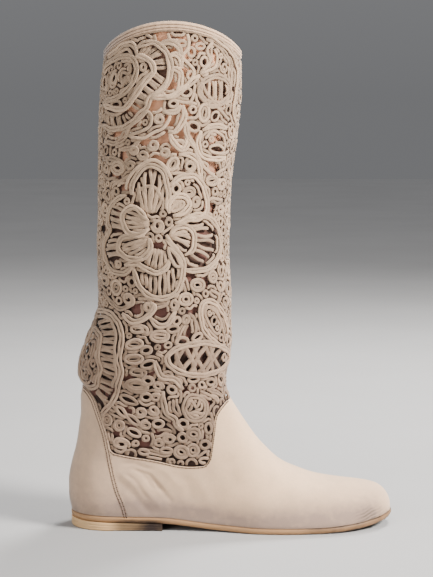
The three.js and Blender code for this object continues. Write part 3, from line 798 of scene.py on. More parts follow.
# The counter's cut edge faces the key light and is darkened with painted shade.
cut_edge = [0.5 * (abs(share) == 1 and out < 0.4) for share, _, out in counter_columns]
counter_wear_and_shade = counter_wear_and_shade + np.tile(cut_edge, len(counter_loops))
counter_faces = grid_faces(len(counter_loops), len(counter_columns), closed=False)
counter_numbers = {"wear_and_shade": counter_wear_and_shade, "dust_and_shade": dust_and_shading(counter_points[:, 0], height)}
counter_piece = new_piece("heel_counter", counter_points, counter_faces, upper_nubuck, counter_numbers)
dress(counter_piece, "nubuck")

# %% [markdown]
# ## Sole, heel and sock
#
# The outsole is a thin leather sole cut a little wider than the boot. Its edge is trimmed, dyed tan
# and waxed. The low heel is built from leather lifts, whose joints show as fine lines. Both follow the
# tread's rise, so they are lofted from the same outline, one loop above the other. A solid with a
# bevel modifier would do as well, but the edge's slight swell is easier to give in the loops.

# %% Outline of the sole
sole_columns = 300
sole_dense = np.linspace(0, 2 * np.pi, 3001)
sole_walk = run_along(foot_point(sole_dense, ring_back))
sole_turns = np.interp(np.linspace(0, sole_walk[-1], sole_columns + 1)[:-1], sole_walk, sole_dense)
sole_ring = foot_point(sole_turns, ring_back)
ahead = np.roll(sole_ring, -3, axis=0) - np.roll(sole_ring, 3, axis=0)
sole_outward = unit(np.stack([ahead[:, 1], -ahead[:, 0], np.zeros(sole_columns)], -1))
print("round the sole:", round(sole_walk[-1]), "mm")


def sole_loop(out, lift):
    loop = sole_ring + sole_outward * out
    loop[:, 2] = rise(loop[:, 0]) + lift
    return loop


def capped(loops):
    """Loops one above the other, closed below and above by strips across the outline."""
    count = len(loops[0])
    points = list(np.concatenate(loops))
    faces = grid_faces(len(loops), count)
    across = 12
    for end, (start, flip) in enumerate(((0, False), ((len(loops) - 1) * count, True))):
        half = count // 2
        left = [start + i for i in range(half + 1)]
        right = [start + (count - i) % count for i in range(half + 1)]
        columns = []
        for a, b in zip(left, right):
            if a == b:
                columns.append([a] * (across + 1))
                continue
            line = [a]
            for s in range(1, across):
                middle = mix(points[a], points[b], s / across)
                line.append(len(points))
                points.append(middle)
            columns.append(line + [b])
        for first_line, second_line in zip(columns[:-1], columns[1:]):
            for s in range(across):
                face = [first_line[s], first_line[s + 1], second_line[s + 1], second_line[s]]
                face = [p for k, p in enumerate(face) if p not in face[:k]]
                if len(face) > 2:
                    faces.append(face[::-1] if flip else face)
    return np.array(points), faces


# %% [markdown]
# Sole leather is smooth and firm. At a cut edge its fibres lie in thin layers, and wax leaves it half
# shiny. A flat tan would look like plastic, so noise stretched along the layers gives the fibres, a
# broad noise the unlike dye, and the wear group the soot and the painted shade. Sole, heel and sock
# share the recipe.

# %% Leather of the sole, heel and sock
def sole_leather(name, colour, dark, break_up=0.3):
    material, tree, shader = new_material(name, 0.5, specular=0.4)
    place = object_place(tree)
    stretch = add_node(tree, "ShaderNodeMapping", {"Scale": (1, 1, 7), "Vector": place})
    fibre = noise(tree, stretch.outputs["Vector"], 130, 6, 0.65)
    cloud = noise(tree, place, 28, 4)
    shade = remap(tree, weighted_sum(tree, (fibre, 0.55), (cloud, 0.45)), 0.34, 0.66, 0, 1)
    base = blend_colours(tree, shade, tuple(v * 0.8 for v in colour), colour)
    inputs = {"Colour": base, "Worn Colour": dark, "Break Up": break_up, "Scale": 120}
    wear_and_shade = add_node(tree, "ShaderNodeGroup", inputs, node_tree=wear_and_shade_group)
    tree.links.new(wear_and_shade.outputs["Colour"], shader.inputs["Base Color"])
    tree.links.new(remap(tree, fibre, 0.3, 0.7, 0.42, 0.62), shader.inputs["Roughness"])
    bump(tree, fibre, shader, 0.00012)
    return material


tan_edge = sole_leather("waxed_tan_edge", linear(180, 138, 96), linear(44, 30, 24))
heel_leather = sole_leather("stacked_heel_leather", linear(224, 182, 130), linear(42, 28, 21), 0.08)
sock_leather = sole_leather("sock_leather", linear(196, 166, 138), linear(150, 118, 92))
print("leathers:", tan_edge.name, heel_leather.name, sock_leather.name)

# %% The outsole: how far each loop stands out, and how high it is over the tread
sole_profile = [
    (-1.6, 0.0), (-0.9, 0.05), (-0.35, 0.3), (0.1, 0.75), (0.55, 1.5), (0.78, 2.4), (0.8, 3.2),
    (0.72, 3.9), (0.45, 4.35), (0.0, 4.6), (-0.6, 4.68), (-1.6, 4.7),
]
sole_points, sole_faces = capped([sole_loop(out, lift) for out, lift in sole_profile])
x = sole_points[:, 0]
lift = sole_points[:, 2] - rise(x)
# Painted shade under the arch, low on the edge near the heel's breast.
at_breast = np.exp(-(((x + 70) / 20) ** 4)) * smooth((4.3 - lift) / 2.6) * 0.85
# Painted contact shadow along the lower edge of the sole.
contact_shade = smooth((1.1 - lift) / 1.0) * 0.55 * smooth((x + 100) / 20)
# Painted shade on the top of the sole's edge, in the crevice under the upper.
at_seam = 0.35 * smooth((lift - 4.0) / 0.4)
soot_and_shade = np.maximum(np.maximum(at_breast, contact_shade), at_seam)
soot_and_shade = np.clip(soot_and_shade + 0.46 * smooth((x - 35) / 40), 0, 1)
sole_piece = new_piece("leather_outsole", sole_points, sole_faces, tan_edge, {"wear_and_shade": soot_and_shade})
dress(sole_piece, "sole_leather", "outsole")

# %% [markdown]
# The heel is a low stack of lifts, pale at the back and darkened towards its front with painted shade,
# as under the arch. It could be three slabs, but glued lifts only show as joints. So the heel is one
# loft round the seat and along the straight breast, with a fine groove at each joint.

# %% The heel, three lifts with fine joints: how high each loop is, and how far it stands out
heel_profile = [
    (0.0, -0.9), (0.02, -0.45), (0.08, -0.1), (0.16, 0.0), (0.30, 0.02), (0.325, -0.07), (0.35, 0.02),
    (0.48, 0.05), (0.62, 0.03), (0.645, -0.07), (0.67, 0.03), (0.82, 0.05), (0.95, 0.0), (1.0, -0.15),
]
heel_joints = (0.325, 0.645)
heel_inset = 0.25
heel_edge = sole_overhang - heel_inset
behind_breast = np.nonzero(sole_ring[:, 0] < -heel_breast)[0]
heel_start = behind_breast[behind_breast < sole_columns // 2].max()
heel_end = behind_breast[behind_breast > sole_columns // 2].min()
heel_order = list(range(heel_end, sole_columns)) + list(range(0, heel_start + 1))


def heel_loop(share, out):
    """Round the seat from side to side, and back along the straight breast."""
    loop = (sole_ring + sole_outward * (heel_edge + out))[heel_order]
    loop[:, 2] = share * np.maximum(rise(loop[:, 0]) - clearance, 0.9)
    ends = loop[[0, -1]].copy()
    ends[:, 0] = -heel_breast
    breast = [mix(ends[1], ends[0], along) for along in np.linspace(0, 1, 16)]
    return np.concatenate([loop, breast])


heel_loops = [heel_loop(share, out) for share, out in heel_profile]
count = len(heel_loops[0])
heel_points = np.concatenate(heel_loops)
heel_faces = grid_faces(len(heel_loops), count)
heel_faces.append(list(range(count))[::-1])
heel_faces.append(list(range((len(heel_loops) - 1) * count, len(heel_loops) * count)))
heel_share = np.concatenate([np.full(count, share) for share, _ in heel_profile])
joint = sum(np.exp(-(((heel_share - place) / 0.02) ** 2)) for place in heel_joints)
x = heel_points[:, 0]
# Painted shade: the heel grows dark towards its front, under the arch.
front_dark = 0.72 * smooth((x + 97) / 14) + 0.28 * smooth((x + 84) / 26)
heel_wear_and_shade = np.clip(0.15 * joint + front_dark + 0.5 * smooth((0.12 - heel_share) / 0.12), 0, 1)
heel_piece = new_piece("stacked_heel", heel_points, heel_faces, heel_leather, {"wear_and_shade": heel_wear_and_shade})
dress(heel_piece, "heel_leather", "heel_lift")

# %% [markdown]
# The sock covers the inside of the sole. It is hardly seen, but it closes the boot's floor, and a dark
# tread at heel and ball shows that the boot was worn. A sewn line runs round it as a shallow groove in
# the loops. It could be left out, but then the view from above would show bare sole leather.

# %% The sock inside
sock_edge = -upper_wall - 0.6
sock_bottom = outsole_thickness + clearance
sock_profile = [
    (sock_edge, 0.0), (sock_edge, 0.3), (sock_edge, 1.7), (sock_edge - 0.3, 2.2), (sock_edge - 0.9, 2.4),
    (sock_edge - 2.4, 2.36), (sock_edge - 2.9, 2.15), (sock_edge - 3.4, 2.36), (sock_edge - 6, 2.4),
]
sock_points, sock_faces = capped([sole_loop(out, sock_bottom + lift) for out, lift in sock_profile])
tread = np.exp(-(((sock_points[:, 0] + 92) / 22) ** 2)) + np.exp(-(((sock_points[:, 0] - 48) / 34) ** 2))
sock_wear = np.clip(0.55 * tread * np.exp(-((sock_points[:, 1] / 26) ** 2)), 0, 1)
sock_piece = new_piece("leather_sock", sock_points, sock_faces, sock_leather, {"wear_and_shade": sock_wear})
dress(sock_piece, "sock", "insole")

# %% [markdown]
# ## Stitches
#
# Two rows of stitches hold the counter down, and one row follows the lace panel's edge. The thread is
# darker than the nubuck, and each stitch ends in a small needle hole, a dark bead of painted shade. A
# painted line would do from afar, but instances are real shapes and cost little: Geometry Nodes set one
# stitch and one hole at every step along a path, turned to the path and to the skin.

# %% The stitch tree
def named(tree, name, kind="FLOAT"):
    """What the paths keep at each point under a name, for the trees of Geometry Nodes."""
    return add_node(
        tree, "GeometryNodeInputNamedAttribute", {"Name": name}, data_type=kind
    ).outputs["Attribute"]


def make_stitch_tree():
    tree = bpy.data.node_groups.new("stitch_row", "GeometryNodeTree")
    given, result = add_sockets(
        tree,
        [
            ("Geometry", "Geometry"), ("Pitch", "Float", 0.0031), ("Stitch Length", "Float", 0.0019),
            ("Thread", "Float", 0.0008), ("Hole", "Float", 0.0012),
            ("Thread Material", "Material"), ("Hole Material", "Material"),
        ],
        [("Geometry", "Geometry")],
    )
    curve = add_node(tree, "GeometryNodeMeshToCurve", {"Mesh": given["Geometry"]})
    inputs = {"Curve": curve.outputs["Curve"], "Length": given["Pitch"]}
    steps = add_node(tree, "GeometryNodeResampleCurve", inputs, mode="LENGTH")
    along = add_node(tree, "GeometryNodeInputTangent").outputs["Tangent"]
    inputs = {"Primary Axis": named(tree, "lay", "FLOAT_VECTOR"), "Secondary Axis": along}
    turn = add_node(tree, "FunctionNodeAxesToRotation", inputs, primary_axis="Z", secondary_axis="X")

    def bead(length, width, flatness, shift, material):
        """A ball drawn out to a stitch or a hole, and shifted by a share of the pitch."""
        ball = add_node(tree, "GeometryNodeMeshUVSphere", {"Segments": 6, "Rings": 4, "Radius": 0.5})
        sides = {"X": length, "Y": width, "Z": reckon(tree, "MULTIPLY", width, flatness)}
        size = add_node(tree, "ShaderNodeCombineXYZ", sides)
        away = {"X": reckon(tree, "MULTIPLY", given["Pitch"], shift)}
        move = add_node(tree, "ShaderNodeCombineXYZ", away)
        placed = add_node(tree, "GeometryNodeTransform", {
            "Geometry": ball.outputs["Mesh"],
            "Scale": size.outputs["Vector"],
            "Translation": move.outputs["Vector"],
        })
        inputs = {"Geometry": placed.outputs["Geometry"], "Material": material}
        return add_node(tree, "GeometryNodeSetMaterial", inputs).outputs["Geometry"]

    both = add_node(tree, "GeometryNodeJoinGeometry")
    for one in (
        bead(given["Stitch Length"], given["Thread"], 0.8, 0.0, given["Thread Material"]),
        bead(given["Hole"], given["Hole"], 0.5, 0.5, given["Hole Material"]),
    ):
        tree.links.new(one, both.inputs["Geometry"])
    sewn = add_node(tree, "GeometryNodeInstanceOnPoints", {
        "Points": steps.outputs["Curve"],
        "Instance": both.outputs["Geometry"],
        "Rotation": turn.outputs["Rotation"],
    })
    real = add_node(tree, "GeometryNodeRealizeInstances", {"Geometry": sewn.outputs["Instances"]})
    soft = add_node(tree, "GeometryNodeSetShadeSmooth", {"Geometry": real.outputs["Geometry"]})
    tree.links.new(soft.outputs["Geometry"], result["Geometry"])
    return tree


stitch_tree = make_stitch_tree()
print("tree:", stitch_tree.name, "with", len(stitch_tree.nodes), "nodes")


# %% Thread and needle holes
def plain_noise_material(name, low, high, scale, roughness):
    material, tree, shader = new_material(name, roughness, specular=0.2)
    twist = noise(tree, object_place(tree), scale, 3)
    colour = blend_colours(tree, remap(tree, twist, 0.3, 0.7, 0, 1), low, high)
    tree.links.new(colour, shader.inputs["Base Color"])
    bump(tree, twist, shader, 0.0001)
    return material


thread = plain_noise_material("waxed_thread", linear(74, 57, 48), linear(110, 90, 77), 1800, 0.6)
# The needle holes are dark beads of painted shade.
needle_hole = plain_noise_material("needle_hole", linear(36, 26, 22), linear(62, 46, 38), 900, 0.9)
print("thread and hole:", thread.name, needle_hole.name)

# %% Running a tree over paths
def path_mesh(name, lines, attributes):
    """Edges along each line of points, with numbers and directions stored on the points."""
    points, edges, start = [], [], 0
    for line, closed in lines:
        count = len(line)
        points.append(line)
        edges += [(start + i, start + i + 1) for i in range(count - 1)]
        if closed:
            edges.append((start + count - 1, start))
        start += count
    mesh = bpy.data.meshes.new(name)
    mesh.from_pydata((np.concatenate(points) / 1000).tolist(), edges, [])
    for key, values in attributes.items():
        values = np.asarray(values, float)
        if values.ndim == 2:
            layer = mesh.attributes.new(key, "FLOAT_VECTOR", "POINT")
            layer.data.foreach_set("vector", values.ravel())
        else:
            layer = mesh.attributes.new(key, "FLOAT", "POINT")
            layer.data.foreach_set("value", values)
    piece = bpy.data.objects.new(name, mesh)
    bpy.context.scene.collection.objects.link(piece)
    return piece


def run_tree(piece, tree, **inputs):
    """Gives the tree its inputs by socket identifier, and keeps its result as a plain mesh."""
    modifier = piece.modifiers.new(tree.name, "NODES")
    modifier.node_group = tree
    for item in tree.interface.items_tree:
        key = item.name.replace(" ", "_")
        if item.in_out == "INPUT" and key in inputs:
            modifier[item.identifier] = inputs[key]
    bpy.context.view_layer.update()
    evaluated = piece.evaluated_get(bpy.context.evaluated_depsgraph_get())
    mesh = bpy.data.meshes.new_from_object(evaluated)
    piece.modifiers.remove(modifier)
    paths_only = piece.data
    piece.data = mesh
    bpy.data.meshes.remove(paths_only)
    mesh.name = piece.name


# %% Rows of stitches
def side_point(x, z, side):
    return np.stack([x, middle_line(x, z) + side * half_width(x, z), z], -1)


def side_normal(x, z, side):
    across = side_point(x + 0.5, z, side) - side_point(x - 0.5, z, side)
    along = side_point(x, z + 0.5, side) - side_point(x, z - 0.5, side)
    return unit(np.cross(across, along) * -side)


def row_beside(line, distance):
    """A row at a distance from a line of x and z, on its right hand side."""
    run = run_along(line)
    at = np.linspace(0, run[-1], max(4, int(run[-1])))
    line = np.stack([np.interp(at, run, line[:, k]) for k in (0, 1)], -1)
    ahead = unit(np.gradient(line, axis=0))
    return line + distance * np.stack([ahead[:, 1], -ahead[:, 0]], -1)


panel_x = np.linspace(-0.4495 * boot_length, -0.012 * boot_length, 260)
panel_line = np.stack([panel_x, panel_curve(panel_x)], -1)
seam_z = np.linspace(0.645 * ankle_height, float(feather_height(-80)) + 1.2, 60)
seam_line = np.stack([counter_edge(seam_z), seam_z], -1)
back_part = panel_line[panel_x < -0.368 * boot_length]
front_part = panel_line[panel_x >= -0.366 * boot_length]
counter_line = np.concatenate([back_part, seam_line[1:]])
on_counter, on_upper = counter_out + 0.1, 0.15
stitch_lines, stitch_lays = [], []
for side in (-1, 1):
    for line, inset, out in (
        (counter_line, 0.9, on_counter), (counter_line, 2.9, on_counter), (front_part, 1.0, on_upper),
    ):
        x, z = row_beside(line, inset).T
        on_side = (x > back_at(z) + 1.5) & (x < front_at(z) - 0.6)
        x, z = x[on_side], z[on_side]
        point, normal = side_point(x, z, side), side_normal(x, z, side)
        stitch_lines.append((point + normal * (out + crease_depth(point))[:, None], False))
        stitch_lays.append(normal)
stitch_piece = path_mesh("seam_stitches", stitch_lines, {"lay": np.concatenate(stitch_lays)})
run_tree(
    stitch_piece, stitch_tree, Pitch=0.0031, Stitch_Length=0.0019, Thread=0.0008, Hole=0.0012,
    Thread_Material=thread, Hole_Material=needle_hole,
)
dress(stitch_piece, "nubuck")

# %% [markdown]
# ## The lace
#
# The shaft is a lace of thin nubuck cords. Each cord lies flat beside the next and is sewn to it,
# round petals, fans with ribs, scrolls and many small rings. It could be a pattern of holes cut in a
# sheet, but the real cords are round and cross over each other, and their shading shows it. So every
# cord is a path on the shaft's chart, and one Geometry Nodes tree sweeps a cord along all the paths.
#
# The large motifs are laid one by one, in rows of x and z as seen from the outer side. The same rows are
# laid on the inner side, mirrored, as a maker would cut the same panel twice.

# %% Rings: x, z, half length round the shaft, half height, lean in degrees, and 1 for a double cord
loop_rows = [
    (-88.5, 348, 5, 7.5, -8, 0), (-10.5, 340, 16, 12, 0, 1), (-20, 323, 4.5, 7, 0, 1),
    (-53.5, 318.5, 4.5, 4, 0, 0), (-33.5, 338.5, 4, 3.5, 0, 0), (-43, 330, 3.5, 3, 0, 0),
    (-58, 299, 4.5, 4.5, 0, 0), (-49.5, 293.5, 4, 4, 0, 0), (-66, 291.5, 5, 4, 0, 0),
    (-73, 295.5, 4.5, 4, 0, 0), (-38, 300, 6, 4, -20, 0), (-86, 281.5, 7, 5, 0, 1),
    (-30.5, 283.5, 5.5, 5, 0, 0), (-43.5, 285, 4, 5.5, -20, 0), (-76, 283.5, 4.5, 4, 0, 0),
    (-28, 313, 5, 3.5, -35, 0), (-20, 361, 3.5, 4, 0, 0), (-29.5, 368, 3, 4, 0, 0),
    (-30, 351, 3, 3.5, 0, 0), (-41.5, 374.5, 3, 2, 0, 0), (-23, 372.5, 4, 2.5, 0, 0),
    (-36.5, 374.5, 3.5, 2.5, 0, 0), (-87, 329, 6, 3.5, 0, 0), (-65.5, 357, 2.5, 3, 0, 0),
    (-14, 272, 6.5, 4, 0, 0), (-6.5, 269, 7, 5, 0, 0), (-31.5, 263.5, 5, 4, 0, 0),
    (-41, 266.5, 3.5, 4, 0, 0), (-10, 295.5, 9, 3.5, -10, 0), (-13, 329.5, 5, 3, 0, 0),
    (-40, 253, 6, 3, 35, 0), (-55, 238.5, 5, 6, 0, 1), (-87.5, 190.5, 5.5, 6, -35, 1),
    (-78, 182, 6, 5.5, -20, 1), (-63, 176.5, 4, 4, 0, 0), (-25, 193, 6, 5, 0, 1),
    (-34, 182.5, 5.5, 5, 0, 1), (-43, 178.5, 4, 5, 0, 0), (-97, 195, 7.5, 4.5, 0, 1),
    (-13.5, 198.5, 5, 4.5, 0, 1), (-70.5, 159.5, 8, 4, -5, 1), (-54, 154.5, 7, 4.5, -5, 1),
    (-73.5, 148, 6.5, 4, 5, 1), (-74, 136.5, 6.5, 4, 0, 1), (-71.5, 126, 7, 4, 0, 1),
    (-64.5, 143.5, 4, 3.5, 0, 1), (-63, 132.5, 5, 3.5, 10, 1), (-72, 116, 7, 5, 0, 1),
    (-63, 119.5, 4, 3.5, 0, 0), (-55.5, 115.5, 4, 4, 0, 1), (-37, 150, 5, 3.5, 0, 1),
    (-41, 166, 3, 3.5, 0, 0), (-34, 167, 3, 3.5, 0, 0), (-44, 160, 4.5, 3, 0, 0),
    (-48.5, 124, 4, 3, 0, 0), (-25.5, 153, 4.5, 3, 20, 0), (-75, 195.5, 3.5, 4, 0, 0),
    (-39, 193, 3, 4, 20, 0), (-26.5, 256.5, 4.5, 5, 0, 0), (-7.5, 249.5, 5.5, 4, 0, 0),
    (-78.5, 104, 7.5, 3, -25, 1), (-65, 106.5, 4, 3.5, 0, 1), (-57.5, 106, 4.5, 4, 0, 1),
    (-63.5, 119.5, 4, 3.5, 0, 1), (-69, 94, 4.5, 4.5, 0, 1), (-59, 95.5, 5, 4, -45, 1),
    (-65.5, 84, 4.5, 4, 0, 1), (-55.5, 85, 4, 3.5, 0, 1), (-95.5, 87.5, 4.5, 4.5, 0, 1),
    (-86, 83.5, 4, 4.5, 0, 1), (-74.5, 78, 5.5, 3, -35, 1), (-96, 74.5, 2.5, 5, 20, 0),
    (-85, 69, 7, 5, -10, 1), (-55.5, 69.5, 4, 4, 0, 0), (-47.5, 72.5, 5, 4.5, 0, 1),
    (-28.5, 76.5, 5.5, 5, 0, 1), (-37, 74, 3.5, 4, 0, 0), (-29, 64, 5, 5, 0, 1),
    (-38, 62.5, 5.5, 5, -45, 1), (-20, 68.5, 4.5, 3.5, 0, 1), (-49.5, 63.5, 4.5, 2.5, 0, 0),
    (-20, 56, 5, 2.5, 0, 1), (-17, 81, 3.5, 4.5, 0, 1), (-93, 98.5, 6, 2.5, -40, 1),
    (-84, 94.5, 6, 2.5, -48, 1), (-75, 88, 6, 2.5, -42, 1), (-45, 112, 3.5, 3.5, 0, 0),
    (-26.5, 97, 10.5, 11, 0, 1), (-36.5, 85, 4, 3.5, 0, 0), (-42, 119.5, 5, 2.5, -20, 0),
    (-28.5, 119.5, 5, 2.5, 0, 0), (-72, 115, 8, 5.5, 0, 1), (-15, 116, 5, 3, 0, 0),
    (-67, 62.5, 4, 2.5, -10, 0),
]
print("rings:", len(loop_rows))

